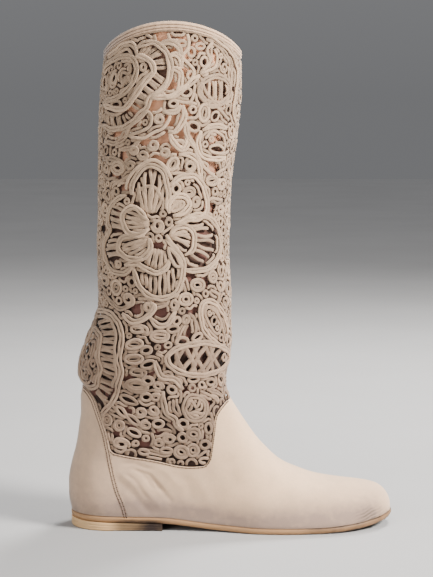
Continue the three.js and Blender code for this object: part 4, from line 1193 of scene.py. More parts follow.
# %% Cords: 1 for a double cord, 1 where raised, and the places that the cord passes
cord_rows = [
    (1, 1, [(-97, 353), (-95, 358.5), (-88, 363), (-79, 365.5), (-73.5, 363.5), (-71, 359), (-71, 352.5),
        (-75, 343.5), (-83, 336), (-91, 333), (-97, 331.5)]),
    (1, 1, [(-97, 329.5), (-89, 326.5), (-81, 326), (-75, 331.5), (-69, 340), (-61.5, 349.5), (-57.5, 354),
        (-60, 361), (-66.5, 365), (-72, 364)]),
    (0, 0, [(-81, 358.5), (-77, 359.5), (-75, 356), (-77, 352.5), (-81.5, 353.5), (-83, 349.5),
        (-80.5, 346), (-82.5, 342.5), (-86, 344.5)]),
    (0, 0, [(-94, 353), (-93, 345), (-94, 339)]),
    (1, 1, [(-94, 364.5), (-88, 368.5), (-81, 373.5), (-74.5, 374.5), (-71, 370.5), (-70.5, 366)]),
    (0, 0, [(-93, 359), (-86, 366.5), (-79, 370.5), (-75, 368), (-73.5, 364)]),
    (1, 1, [(-71, 370.5), (-65.5, 374), (-57, 375), (-49.5, 369.5), (-45.5, 362), (-45, 352), (-47.5, 346),
        (-52.5, 339.5), (-60, 334.5), (-63, 327), (-68.5, 322), (-75, 315.5), (-83, 311.5), (-91, 311),
        (-98, 314)]),
    (0, 0, [(-71, 363), (-64.5, 365), (-59, 361), (-57.5, 355), (-61, 352), (-67, 347), (-72, 340.5),
        (-75, 334.5), (-77, 330), (-81, 324.5), (-89, 321.5), (-97, 325)]),
    (1, 1, [(-55, 372.5), (-49, 375), (-42, 374.5), (-38, 369.5), (-39, 364.5)]),
    (1, 1, [(-47.5, 364.5), (-42, 366.5), (-37.5, 363), (-37, 356)]),
    (1, 1, [(-46.5, 354), (-42, 356), (-37.5, 352), (-38, 344.5), (-41, 338.5)]),
    (0, 1, [(-47.5, 364.5), (-46.5, 356), (-47, 348.5), (-51.5, 340.5), (-61, 335.5)]),
    (0, 1, [(-32.5, 381.5), (-31.5, 372.5), (-36, 365.5), (-32.5, 360), (-27.5, 354), (-32.5, 344.5),
        (-39, 339.5), (-47, 334.5), (-51.5, 338.5)]),
    (0, 0, [(-57.5, 381), (-55.5, 374.5), (-51.5, 372)]),
    (0, 0, [(-47, 382), (-45, 377), (-39, 377)]),
    (1, 1, [(-15, 380.5), (-6.5, 375), (1.5, 366.5), (5, 354), (4, 340), (2, 325), (3.5, 315)]),
    (1, 0, [(-18, 378), (-9, 373), (-1.5, 363), (1, 351.5), (0.5, 340.5)]),
    (0, 1, [(-23, 352.5), (-16, 361.5), (-18, 370), (-13.5, 376)]),
    (0, 1, [(-23, 352.5), (-13, 356.5), (-10.5, 364.5), (-12, 370.5)]),
    (0, 0, [(-22, 349.5), (-20, 341), (-13, 331.5), (-6.5, 323.5), (-0.5, 317)]),
    (0, 0, [(-24.5, 348.5), (-23.5, 339), (-18, 329), (-17, 321.5)]),
    (1, 1, [(-3.5, 289), (-14, 288.5), (-22.5, 292.5), (-24.5, 301.5), (-22.5, 310)]),
    (1, 1, [(-21, 310), (-13, 313.5), (-2.5, 311.5)]),
    (0, 0, [(-19, 304), (-13, 309.5), (-5.5, 305), (-4, 295.5)]),
    (0, 1, [(-32.5, 306), (-27.5, 297), (-24.5, 289.5), (-18, 279.5), (-12, 276)]),
    (0, 1, [(-77, 306), (-67, 304), (-59.5, 307.5), (-51.5, 311.5), (-47, 316.5), (-45.5, 322)]),
    (0, 1, [(-79, 307), (-75, 313.5), (-67, 319.5), (-62.5, 324), (-59, 320.5), (-61, 313.5), (-69, 308.5),
        (-78, 306)]),
    (1, 0, [(-97.5, 302), (-89, 300), (-81, 304), (-76.5, 311)]),
    (1, 0, [(-85.5, 295.5), (-75, 297), (-67, 304)]),
    (1, 1, [(-61, 335.5), (-51.5, 334.5), (-42, 336.5), (-32.5, 343.5), (-26.5, 348.5), (-23, 351)]),
    (0, 0, [(-45.5, 333), (-37, 331.5), (-30.5, 331), (-27.5, 339), (-26.5, 344.5)]),
    (1, 1, [(-51.5, 324), (-42, 324), (-37, 329)]),
    (1, 1, [(-36, 329), (-35, 319.5), (-41.5, 309.5), (-47, 309.5)]),
    (0, 0, [(-35, 319.5), (-26.5, 319.5), (-23.5, 324.5)]),
    (1, 1, [(-45.5, 308), (-43, 301), (-36.5, 296), (-32.5, 300), (-34, 306)]),
    (1, 1, [(-34, 316.5), (-32.5, 306), (-26.5, 296)]),
    (1, 0, [(-99, 287.5), (-91, 288.5), (-84, 286.5), (-81, 281.5), (-84, 276)]),
    (1, 1, [(-39, 292), (-31.5, 292), (-25.5, 287.5), (-23.5, 280.5), (-22, 273)]),
    (0, 0, [(-57.5, 333), (-62.5, 335), (-64.5, 329)]),
    (0, 0, [(-10.5, 277), (-3.5, 281.5), (0.5, 287.5)]),
    (0, 0, [(-46, 278), (-38, 278), (-32.5, 277)]),
    (0, 0, [(-99, 277.5), (-93.5, 273), (-88, 274)]),
    (0, 0, [(-91, 266), (-86, 271), (-81, 273), (-77, 277)]),
    (1, 1, [(-75, 261.5), (-74, 270), (-68, 280), (-59.5, 284), (-51.5, 280), (-48, 270), (-47, 260.5),
        (-48.5, 251)]),
    (0, 1, [(-79, 265.5), (-77, 274), (-69, 283), (-59.5, 288), (-49.5, 283), (-44.5, 273)]),
    (0, 0, [(-71, 256.5), (-69, 264.5), (-61.5, 268.5), (-54.5, 264.5), (-52.5, 257)]),
    (1, 1, [(-46.5, 268.5), (-39, 274.5), (-28.5, 276), (-22, 270), (-19, 260.5), (-18, 250.5), (-23, 244),
        (-32.5, 243), (-42, 240)]),
    (1, 1, [(-46, 248), (-47, 255), (-42, 260.5), (-34.5, 260.5), (-31.5, 254.5), (-36.5, 248),
        (-43.5, 246)]),
    (1, 1, [(-79, 261.5), (-88, 256.5), (-93, 247.5), (-93.5, 238.5), (-91.5, 234.5), (-96.5, 224.5),
        (-96.5, 215), (-92, 204.5), (-82, 201.5), (-73, 208.5)]),
    (1, 1, [(-62.5, 242.5), (-71, 251.5), (-79, 250.5), (-82, 243), (-78, 233.5), (-69, 231.5),
        (-61.5, 237)]),
    (1, 1, [(-65, 231.5), (-77, 230.5), (-84, 227), (-85, 219.5), (-79, 214), (-68, 213.5), (-61, 221),
        (-61.5, 229)]),
    (1, 1, [(-73.5, 207), (-71, 196), (-63.5, 186.5), (-51.5, 183.5), (-41, 188.5), (-37, 199),
        (-36, 210.5), (-42, 221), (-49, 229)]),
    (1, 1, [(-81, 208), (-72, 210), (-63.5, 205.5), (-55.5, 203), (-49, 206.5), (-46.5, 213.5)]),
    (0, 1, [(-47, 222), (-42, 217), (-38, 208.5), (-42, 208.5), (-45.5, 214.5), (-47, 222)]),
    (1, 1, [(-36.5, 243), (-24.5, 246.5), (-14, 241.5), (-8.5, 230), (-8.5, 217), (-15, 207), (-24.5, 204),
        (-35.5, 205)]),
    (1, 1, [(-46, 230.5), (-42, 236.5), (-33.5, 238), (-28, 231.5), (-28.5, 221), (-34.5, 216)]),
    (0, 1, [(-49, 231.5), (-42, 222), (-36, 214.5)]),
    (1, 0, [(-99, 187), (-93.5, 180), (-85, 174.5), (-75, 178)]),
    (1, 1, [(-83, 171), (-75, 165.5), (-67, 167), (-61, 172), (-58, 177.5), (-61.5, 180.5)]),
    (1, 1, [(-61.5, 169.5), (-55.5, 163), (-48, 164), (-44, 170), (-42, 174)]),
    (0, 0, [(-57.5, 175.5), (-49, 178.5), (-47, 182.5)]),
    (0, 0, [(-71, 183), (-63.5, 183), (-58.5, 180.5)]),
    (0, 0, [(-36.5, 195), (-34, 188)]),
    (0, 0, [(-28.5, 191), (-27.5, 185)]),
    (1, 1, [(-103.5, 170), (-94.5, 171), (-87, 165.5), (-83, 155.5), (-84, 143), (-85.5, 136),
        (-83.5, 124.5), (-87, 110.5), (-91, 102), (-99, 92.5), (-103.5, 88)]),
    (0, 1, [(-102.5, 166), (-94.5, 167), (-89.5, 161.5), (-87.5, 154), (-88.5, 142.5), (-88.5, 135.5),
        (-87.5, 124), (-90.5, 113)]),
    (1, 1, [(-105.5, 156.5), (-100, 151.5), (-102, 138), (-100, 126), (-103.5, 113.5), (-110.5, 111.5),
        (-116.5, 117.5), (-117.5, 127.5), (-114.5, 139.5), (-109.5, 149.5), (-105.5, 156)]),
    (0, 0, [(-108.5, 146.5), (-104.5, 147), (-106.5, 137.5), (-110.5, 129.5), (-107, 122.5),
        (-108.5, 115.5)]),
    (1, 1, [(-3.5, 139.5), (-12, 147.5), (-20, 157.5), (-23, 169.5), (-21.5, 179), (-14, 179.5),
        (-7.5, 172), (-3.5, 162), (-2, 152)]),
    (0, 0, [(-18, 175), (-19, 169), (-15, 160), (-10, 154), (-7, 159.5), (-10, 169.5), (-14, 174),
        (-18, 175)]),
    (0, 0, [(-16, 177), (-10, 171.5), (-6, 158.5), (-3.5, 146)]),
    (1, 1, [(-48.5, 138), (-42, 144.5), (-30.5, 147.5), (-18, 148), (-7, 143.5), (-1, 134), (-7, 125.5),
        (-20, 122.5), (-32.5, 124), (-44, 129.5), (-48.5, 138)]),
    (1, 0, [(-42, 147.5), (-37, 161), (-30.5, 169.5)]),
    (0, 0, [(-28.5, 151), (-26.5, 158), (-27.5, 167.5), (-31.5, 171.5)]),
    (1, 1, [(-57.5, 135.5), (-55.5, 127.5), (-51.5, 122.5), (-42, 120), (-36.5, 112)]),
    (0, 0, [(-57, 141), (-51.5, 138), (-52.5, 132.5)]),
    (0, 0, [(-15, 188.5), (-9, 184), (-10, 177.5)]),
    (0, 0, [(-4.5, 207), (-3.5, 198), (-4.5, 187.5)]),
    (0, 0, [(-5.5, 242.5), (-3.5, 232.5), (-4.5, 221)]),
    (0, 0, [(-17, 256.5), (-13, 258.5), (-5.5, 256)]),
    (0, 0, [(-97.5, 256), (-99, 247), (-96.5, 240.5)]),
    (0, 0, [(-99, 228.5), (-99.5, 217.5), (-97.5, 209)]),
    (0, 0, [(-34, 97), (-30.5, 103.5), (-26.5, 97.5), (-23, 103.5), (-18, 97)]),
    (0, 0, [(-32.5, 92), (-27.5, 94), (-22, 92.5), (-18, 94)]),
    (1, 1, [(-51.5, 111), (-51.5, 101.5), (-49, 93), (-43, 89), (-42, 84), (-36.5, 79)]),
    (0, 0, [(-44, 104), (-44, 96.5), (-39, 90.5)]),
    (0, 0, [(-41, 115), (-38, 108), (-39, 101)]),
    (1, 0, [(-69, 64.5), (-61.5, 62.5), (-51.5, 60), (-45.5, 61)]),
    (1, 0, [(-18, 110.5), (-10, 107), (-4.5, 102.5)]),
    (1, 0, [(-51.5, 124.5), (-44, 121.5), (-36.5, 116.5)]),
    (0, 0, [(-23, 109.5), (-15, 105.5), (-9, 99)]),
    (0, 0, [(-49, 85), (-44, 81), (-43, 76.5)]),
    (0, 0, [(-61.5, 78), (-59.5, 72.5), (-61.5, 66.5)]),
    (0, 0, [(-15, 93), (-14, 86), (-18, 84.5)]),
    (0, 0, [(-102.5, 89), (-99, 81), (-93.5, 77)]),
]
print("cords:", len(cord_rows))

# %% Ribs of fans and petals: how many, from which line, to which line
rib_rows = [
    (9, [(-71, 364), (-65, 364.5), (-59.5, 361), (-57.5, 355)],
        [(-67, 371.5), (-57.5, 372), (-50.5, 364.5), (-48, 354)]),
    (7, [(-57.5, 353.5), (-61.5, 351.5), (-67, 347), (-72, 340.5)],
        [(-48, 348.5), (-52.5, 342.5), (-59, 336.5), (-63, 332.5)]),
    (5, [(-72, 339.5), (-75, 334.5), (-77, 330)],
        [(-62.5, 335.5), (-65, 330), (-69, 324)]),
    (10, [(-97, 323.5), (-89, 320.5), (-81, 321.5), (-75, 325.5)],
        [(-97, 316.5), (-91, 313), (-83.5, 312.5), (-72, 322.5)]),
    (5, [(-17, 346.5), (-4.5, 347.5)],
        [(-17, 332), (-4.5, 332.5)]),
    (5, [(-83, 349.5), (-75, 352.5)],
        [(-81, 343), (-72, 348.5)]),
    (9, [(-66.5, 250.5), (-61.5, 248), (-55.5, 249)],
        [(-72, 265.5), (-66, 277), (-59.5, 281), (-52.5, 276), (-49.5, 265.5)]),
    (6, [(-61.5, 241), (-61.5, 240), (-61.5, 238.5)],
        [(-79.5, 249), (-80.5, 243), (-79, 236)]),
    (7, [(-82, 249.5), (-83, 241.5), (-80, 234)],
        [(-91, 252.5), (-92.5, 243.5), (-91, 235.5)]),
    (6, [(-61.5, 229.5), (-62.5, 227), (-62.5, 224)],
        [(-82.5, 226.5), (-83.5, 220.5), (-77, 215.5)]),
    (5, [(-85, 228), (-86.5, 221.5), (-83, 214.5)],
        [(-94, 226), (-96.5, 219), (-93, 211.5)]),
    (8, [(-61.5, 221), (-55.5, 221), (-49, 219)],
        [(-67, 212), (-61.5, 207.5), (-54.5, 205.5), (-48.5, 209.5)]),
    (8, [(-69, 202.5), (-57.5, 200.5), (-49, 203.5), (-42, 208.5)],
        [(-67, 194.5), (-59.5, 187), (-50.5, 186), (-41.5, 191)]),
    (7, [(-32.5, 239), (-26.5, 231.5), (-26.5, 221.5), (-32.5, 215)],
        [(-22, 241), (-13, 230), (-13, 217.5), (-23, 208)]),
    (6, [(-45.5, 230), (-44, 233.5), (-45, 228)],
        [(-34, 236), (-30, 230.5), (-31.5, 221)]),
    (22, [(-103.5, 162.5), (-99, 152.5), (-101, 138.5), (-99, 126), (-102.5, 113), (-106.5, 106.5)],
        [(-94, 168), (-88, 156), (-88.5, 139.5), (-87, 126), (-91, 111.5), (-98.5, 99.5)]),
    (6, [(-42, 259.5), (-36.5, 258.5)],
        [(-43, 250), (-36.5, 250)]),
]

# %% The crossed ribs of the lens: how many, from which line, to which line
lattice_rows = [
    (5, [(-45, 142), (-36, 147), (-24, 148.5), (-13, 146)],
        [(-38, 126.5), (-28, 123.5), (-17, 123), (-6, 125)]),
    (5, [(-36, 147), (-24, 148.5), (-13, 146), (-5, 141)],
        [(-46, 131), (-38, 126.5), (-28, 123.5), (-17, 123)]),
]
print("fans, petals and crossed fans:", len(rib_rows) + len(lattice_rows))

# %% Openings that stay free of lace: x, z, half length, half height and lean
opening_rows = [
    (-52, 379, 4.8, 2.7, 10), (-37, 376.5, 3.0, 1.8, 20), (-23, 372, 3.2, 2.6, 0), (-44, 369, 2.9, 2.1, 0),
    (-32, 366, 3.6, 3.6, 0), (-11, 363, 3.0, 3.9, 30), (-34, 353, 3.6, 3.8, 0), (-10, 347, 3.5, 2.1, 0),
    (-45, 344, 4.6, 4.0, 0), (-57, 330, 5.6, 6.4, 0), (-6, 330, 4.0, 2.7, 0), (-34, 329, 3.0, 3.0, 0),
    (-75, 327, 4.0, 1.9, 0), (-72, 316, 4.0, 3.1, 40), (-45, 317, 3.3, 4.2, 0), (-33, 319, 3.2, 2.3, 0),
    (-37, 309, 3.4, 4.6, -20), (-87, 307, 4.8, 2.1, 0), (-27, 306, 2.8, 3.3, 0), (-50, 304, 4.2, 2.3, 35),
    (-9, 304, 4.2, 3.4, 0), (-66, 302, 5.0, 2.4, 20), (-41, 296, 4.6, 3.1, -20), (-81, 291, 3.0, 3.9, 0),
    (-54, 289, 5.4, 2.3, -15), (-12, 282, 6.0, 3.5, -20), (-91, 276, 3.4, 3.9, 0), (-82, 267, 2.7, 3.4, -30),
    (-14, 251, 4.2, 3.9, 20), (-87, 246, 3.3, 1.9, 0), (-98, 234, 4.2, 3.1, 0), (-21, 229.5, 4.6, 1.7, -5),
    (-56, 224, 3.9, 1.7, 0), (-19, 215, 3.6, 2.1, 0), (-31, 200, 5.0, 2.4, 0), (-82, 199, 4.2, 2.1, 30),
    (-18, 195, 3.0, 3.9, 0), (-55, 181.5, 4.6, 1.3, 0), (-72, 175, 5.2, 4.8, 0), (-53, 173, 6.2, 3.8, 0),
    (-27, 173, 2.8, 3.7, -20), (-32, 157, 2.5, 4.8, 0), (-52, 144, 2.1, 2.1, 0), (-30, 142, 3.0, 2.7, 0),
    (-20, 141, 2.1, 2.9, 0), (-26, 132, 2.7, 2.9, 0), (-17, 131, 2.2, 2.7, 0), (-60, 125, 2.5, 2.7, 0),
    (-80, 120, 3.8, 4.2, 0), (-25, 105, 3.4, 1.6, -10), (-15, 101, 2.1, 2.1, 0), (-79, 96, 4.4, 1.5, -30),
    (-96, 93, 2.6, 2.4, 0), (-76, 83, 3.5, 1.7, -20), (-42, 82, 3.4, 1.9, -35), (-56, 77, 3.9, 1.9, 20),
    (-88, 77, 3.6, 2.6, 0), (-20, 75, 2.2, 2.6, 0), (-66, 68, 3.4, 2.3, 0),
]
print("openings on one side:", len(opening_rows))

# %% [markdown]
# The rows become paths on the chart. Cords that a maker doubles are laid twice, side by side, and
# gather at their ends. Small rings are closed, or wound as curls, and hold a second ring where there
# is room. Ribs are bowed a little. Bezier curves drawn in the viewport would do the same, but rows keep
# the pattern in one place, where one number can be changed.

# %% Paths on the chart: how far round the shaft, and how high
cord_width = 2.6
cord_thickness = 1.9
path_step = 1.5
chart_half = np.pi * chart_radius  # from the middle of the back to the middle of the front


def on_chart(places):
    places = np.array(places, float)
    return np.stack([chart_turn(places[:, 0], places[:, 1]) * chart_radius, places[:, 1]], -1)


def walk_evenly(points, step=path_step, closed=False):
    points = np.concatenate([points, points[:1]]) if closed else points
    run = run_along(points)
    count = max(3 if not closed else 6, int(round(run[-1] / step)))
    at = np.linspace(0, run[-1], count + 1)
    at = at[:-1] if closed else at
    return np.stack([np.interp(at, run, points[:, k]) for k in (0, 1)], -1)


def flowing(points, closed=False):
    """A smooth line through hand-laid places, by Catmull and Rom's rule."""
    n = len(points)
    v = np.linspace(0, 1, 12, endpoint=False)[:, None]
    pieces = []
    for i in range(n if closed else n - 1):
        if closed:
            a, b, c, d = (points[(i + k) % n] for k in (-1, 0, 1, 2))
        else:
            b, c = points[i], points[i + 1]
            a = points[i - 1] if i else 2 * b - c
            d = points[i + 2] if i + 2 < n else 2 * c - b
        bend, twist = 2 * a - 5 * b + 4 * c - d, 3 * b - a - 3 * c + d
        pieces.append(0.5 * (2 * b + (c - a) * v + bend * v**2 + twist * v**3))
    if not closed:
        pieces.append(points[-1:])
    return walk_evenly(np.concatenate(pieces), closed=closed)


def beside(path, distance, closed=False):
    if closed:
        ahead = np.roll(path, -1, axis=0) - np.roll(path, 1, axis=0)
    else:
        ahead = np.gradient(path, axis=0)
    ahead = ahead / np.maximum(np.linalg.norm(ahead, axis=1, keepdims=True), 1e-9)
    return path + distance * np.stack([-ahead[:, 1], ahead[:, 0]], -1)


def ring_path(place, length, height, lean=0.0, start=0.0, sweep=2 * np.pi, closing=0.0):
    """An oval, or with closing above 0 a curl that winds inwards."""
    around = np.linspace(start, start + sweep, 48)
    shrink = 1 - closing * (around - start) / sweep
    p, q = length * shrink * np.cos(around), height * shrink * np.sin(around)
    lean = np.radians(lean)
    s = place[0] + p * np.cos(lean) - q * np.sin(lean)
    z = place[1] + p * np.sin(lean) + q * np.cos(lean)
    return np.stack([s, z], -1)


def part_way(path, share):
    return path[int(share * (len(path) - 1))]


print("half of the shaft is", round(chart_half), "mm round")

# %% Cords laid one by one
raised, ground = 0.3, -0.55  # heights of the cords over the skin
lattice_girth = 1.35
paths = []  # each: places on the chart, closed or not, height over the skin, and girth of the cord
covered = []  # ground between ribs and inside small rings, where no more is wanted
for double, level, places in cord_rows:
    places = on_chart(places)
    closed = len(places) > 4 and np.linalg.norm(places[0] - places[-1]) < 1.0
    middle = flowing(places[:-1] if closed else places, closed)
    height = raised if level else ground
    girth = 1.0 if not double else 0.86 if level else 0.76
    for away in (-0.5, 0.5) if double else (0.0,):
        step = np.arange(len(middle))
        gather = 1.0 if closed else np.clip(np.minimum(step, step[::-1]) / 4, 0.3, 1)[:, None]
        apart = away * girth * (cord_width + 0.06) * gather
        paths.append((beside(middle, apart, closed), closed, height, girth))
print("cords laid by hand:", len(paths))

# %% Rings laid one by one, some of them wound as curls
turns_of_rings = np.random.default_rng(3)
for x, z, length, tall, lean, double in loop_rows:
    place = on_chart([(x, z)])[0]
    length, tall = max(length - 0.5, 1.6), max(tall - 0.5, 1.6)
    small = min(length, tall)
    if 3.0 < small < 7.0 and turns_of_rings.random() < 0.6:
        sweep = 2 * np.pi * (1.25 + 0.12 * small)
        curl = ring_path(place, length, tall, lean, turns_of_rings.uniform(0, 6.3), sweep, 0.62)
        paths.append((walk_evenly(curl), False, ground + 0.3, 0.95))
    else:
        oval = ring_path(place, length, tall, lean)[:-1]
        paths.append((walk_evenly(oval, closed=True), True, ground + 0.3, 0.95))
        if small > 3.0:
            less, girth = (0.9 * cord_width, 0.8) if small > 3.6 else (0.75 * cord_width, 0.62)
            inner = ring_path(place, length - less, tall - less, lean)[:-1]
            paths.append((walk_evenly(inner, 1.1, True), True, ground + 0.1, girth))
    if small < 7.5:
        inside = ring_path(place, length * 0.5, tall * 0.5, lean)[:-1]
        covered.append(walk_evenly(inside, 1.0, True))
print("cords and rings laid by hand:", len(paths))

# %% Ribs laid one by one, and the cord under the binding
for girth, rows in ((1.0, rib_rows), (lattice_girth, lattice_rows)):
    for count, first_line, second_line in rows:
        first_path, second_path = flowing(on_chart(first_line)), flowing(on_chart(second_line))
        for share in np.linspace(0, 1, 3 * count):
            ends = np.stack([part_way(first_path, share), part_way(second_path, share)])
            covered.append(walk_evenly(ends))
        for k in range(count):
            share = (k + 0.5) / count
            start, end = part_way(first_path, share), part_way(second_path, share)
            span = np.linalg.norm(end - start)
            bow = 0.06 * span * (1 if k % 2 else -1)
            away = np.array([-(end - start)[1], (end - start)[0]]) / max(span, 1e-6)
            rib = np.stack([start, mix(start, end, 0.5) + away * bow, end])
            paths.append((flowing(rib), False, ground, girth))
top_turns = np.linspace(0, np.pi, 200)
top_line = np.stack([top_turns * chart_radius, topline(top_turns) - band_height - 0.4], -1)
paths.append((walk_evenly(top_line), False, ground - 0.2, 1.0))
print("paths laid by hand on one side:", len(paths))

# %% [markdown]
# Between the motifs the maker fills the ground with small rings and curls until no cord hangs loose.
# The script does the same. A field holds the distance from every place of the chart to the nearest
# cord. The widest free place gets the largest ring that fits, the field is brought up to date, and so
# on. This is done once for the outer half, and mirrored. It could be drawn by hand too, but there are
# hundreds of rings, and this way they touch their neighbours as sewn rings must.

# %% The field of distances
cell = 0.5
field_low = 44.0
lace_front_x, lace_front_z = -4, 100.5  # before this x, the lace ends at one height
field_columns = int(round(chart_half / cell)) + 1
field_rows = int(round((boot_height - field_low) / cell)) + 1
field_s, field_z = np.meshgrid(
    np.arange(field_columns) * cell, field_low + np.arange(field_rows) * cell, indexing="ij"
)


def lace_edge(turn, z, gap):
    """How high the lace ends above the upper, with a gap between them."""
    over_panel = panel_curve(chart_x(turn, z)) + gap
    return np.where(chart_x(turn, chart_foot) > lace_front_x, lace_front_z, over_panel)


def past_opening(opening, s, z):
    """How far places of the chart are outside an opening, which is an oval."""
    x, height, length, tall, lean = opening
    middle = on_chart([(x, height)])[0]
    lean = np.radians(lean)
    p = (s - middle[0]) * np.cos(lean) + (z - middle[1]) * np.sin(lean)
    q = -(s - middle[0]) * np.sin(lean) + (z - middle[1]) * np.cos(lean)
    return (np.sqrt((p / length) ** 2 + (q / tall) ** 2) - 1) * min(length, tall)


def note_path(path, reach=9.0, more=0.0):
    """Brings the field up to date near a new path, where more is what a thick cord takes."""
    wide = int(reach / cell)
    for s, z in path:
        i, j = int(round(s / cell)), int(round((z - field_low) / cell))
        a, b = max(0, i - wide), min(field_columns, i + wide + 1)
        c, d = max(0, j - wide), min(field_rows, j + wide + 1)
        if a < b and c < d:
            near = np.hypot(field_s[a:b, c:d] - s, field_z[a:b, c:d] - z) - more
            np.minimum(distance[a:b, c:d], near, out=distance[a:b, c:d])


field_turn = field_s / chart_radius
below_band = field_z < topline(field_turn) - band_height
allowed = below_band & (field_z > lace_edge(field_turn, field_z, 0.6) + 1.2)
distance = np.full(field_s.shape, 12.0)
for path, _, _, girth in paths:
    note_path(path, more=(girth - 1) * cord_width / 2)
for path in covered:
    note_path(path, 4.0)
openings = []  # smaller than their rows say, and the more so low down
for x, z, length, tall, lean in opening_rows:
    ease = 0.62 + 0.26 * float(smooth((z - 90) / 160))
    openings.append((x, z, length * ease, tall * ease, lean))
for opening in openings:
    away = past_opening(opening, field_s, field_z) + cord_width * 0.5
    distance = np.minimum(distance, np.maximum(away, 0))
thinnest_room = 2.6


def free_ground():
    return round(float((distance[allowed] > thinnest_room).mean()), 3)


print("free ground before filling:", free_ground())

# %% A cord that runs along the middle of the free ground
def free_at(s, z):
    i, j = int(round(s / cell)), int(round((z - field_low) / cell))
    if 0 <= i < field_columns and 0 <= j < field_rows and allowed[i, j]:
        return distance[i, j]
    return 0.0


def along_the_gap(s, z, longest=13.0, step=1.2):
    headings = np.linspace(0, 2 * np.pi, 16, endpoint=False)
    room = [free_at(s + 2.4 * np.cos(a), z + 2.4 * np.sin(a)) for a in headings]
    best = headings[int(np.argmax(room))]
    halves = []
    for heading in (best, best + np.pi):
        place, way, points = np.array([s, z]), heading, []
        while len(points) * step < longest / 2:
            turns = way + np.linspace(-0.7, 0.7, 7)
            ahead = [free_at(place[0] + step * np.cos(a), place[1] + step * np.sin(a)) for a in turns]
            k = int(np.argmax(np.array(ahead) - 0.02 * np.abs(np.arange(7) - 3)))
            if ahead[k] < 1.75:
                points.append(place + 0.9 * np.array([np.cos(turns[k]), np.sin(turns[k])]))
                break
            way = turns[k]
            place = place + step * np.array([np.cos(way), np.sin(way)])
            points.append(place)
        halves.append(points)
    return np.array(halves[1][::-1] + [np.array([s, z])] + halves[0])


# %% Filling the ground
curl_room, ring_room = 5.2, 3.9  # the least room for a wound curl, and for a ring
shuffle = np.random.default_rng(7)
filling = []
for room in (7.2, 6.6, 6.0, 5.5, 5.0, 4.5, 4.0, 3.5, 3.0, 2.6, 2.35):
    for _ in range(400):
        places = np.flatnonzero(allowed & (distance >= room) & (distance < room + 0.8))
        if len(places) == 0:
            places = np.flatnonzero(allowed & (distance >= room))
        if len(places) == 0:
            break
        place = np.unravel_index(places[shuffle.integers(len(places))], distance.shape)
        s, z = field_s[place], field_z[place]
        reach = distance[place] - cord_width * 0.92
        lean = shuffle.uniform(0, 180)
        kind = shuffle.integers(0, 5)
        if room > curl_room and kind < 2:
            path, closed = ring_path((s, z), reach, reach * 0.94, lean, 0.5, 9.8, 0.72), False
        elif room > 4.4 and kind < 3:
            path, closed = ring_path((s, z), reach * 0.7, reach * 0.7, lean, 0.0, 8.4, -0.6), False
        elif room > ring_room:
            path, closed = ring_path((s, z), reach, reach * 0.92, lean)[:-1], True
        else:
            path, closed = along_the_gap(s, z), False
        path = walk_evenly(path, 1.3, closed)
        girth = 0.79 if room > ring_room else 0.87
        filling.append((path, closed, ground + shuffle.uniform(-0.2, 0.3), girth))
        note_path(path, 7.0)
        if room > ring_room:
            note_path([(s, z)], reach)
print("rings and bars in the ground:", len(filling), "free ground left:", free_ground())

# %% [markdown]
# The paths are cut off at the panel's edge and under the binding, and then laid on the skin. Each
# point keeps the skin's normal under the name lay, so that the tree can hold the cords flat on the
# shaft, and a tone of its own for each cord, because no two cords take the dye alike.

# %% From the chart to the skin
def lace_limits(path):
    s, z = path.T
    turn = s / chart_radius
    inside = (z < topline(turn) - band_height + 1.4) & (z > lace_edge(turn, z, 0.25))
    return inside & (s > -0.8) & (s < chart_half + 0.8)


def cut_to_panel(path, closed):
    inside = lace_limits(path)
    if inside.all():
        return [(path, closed)]
    if not inside.any():
        return []
    if closed:
        first = int(np.argmin(inside))
        path, inside = np.roll(path, -first, axis=0), np.roll(inside, -first)
    runs, run = [], []
    for point, kept in zip(path, inside):
        if kept:
            run.append(point)
        elif run:
            runs.append(run)
            run = []
    if run:
        runs.append(run)
    return [(np.array(run), False) for run in runs if len(run) > 1]


# %% [markdown]
# A real cord is a strip folded round and sewn, so it is an oval with a furrow along its upper side. It
# could be a curve object with a bevel, but then every cord would need an object of its own. One tree
# sweeps the oval along all the paths of a piece, and keeps where the furrow and the underside are, for
# the material to darken as painted shade.

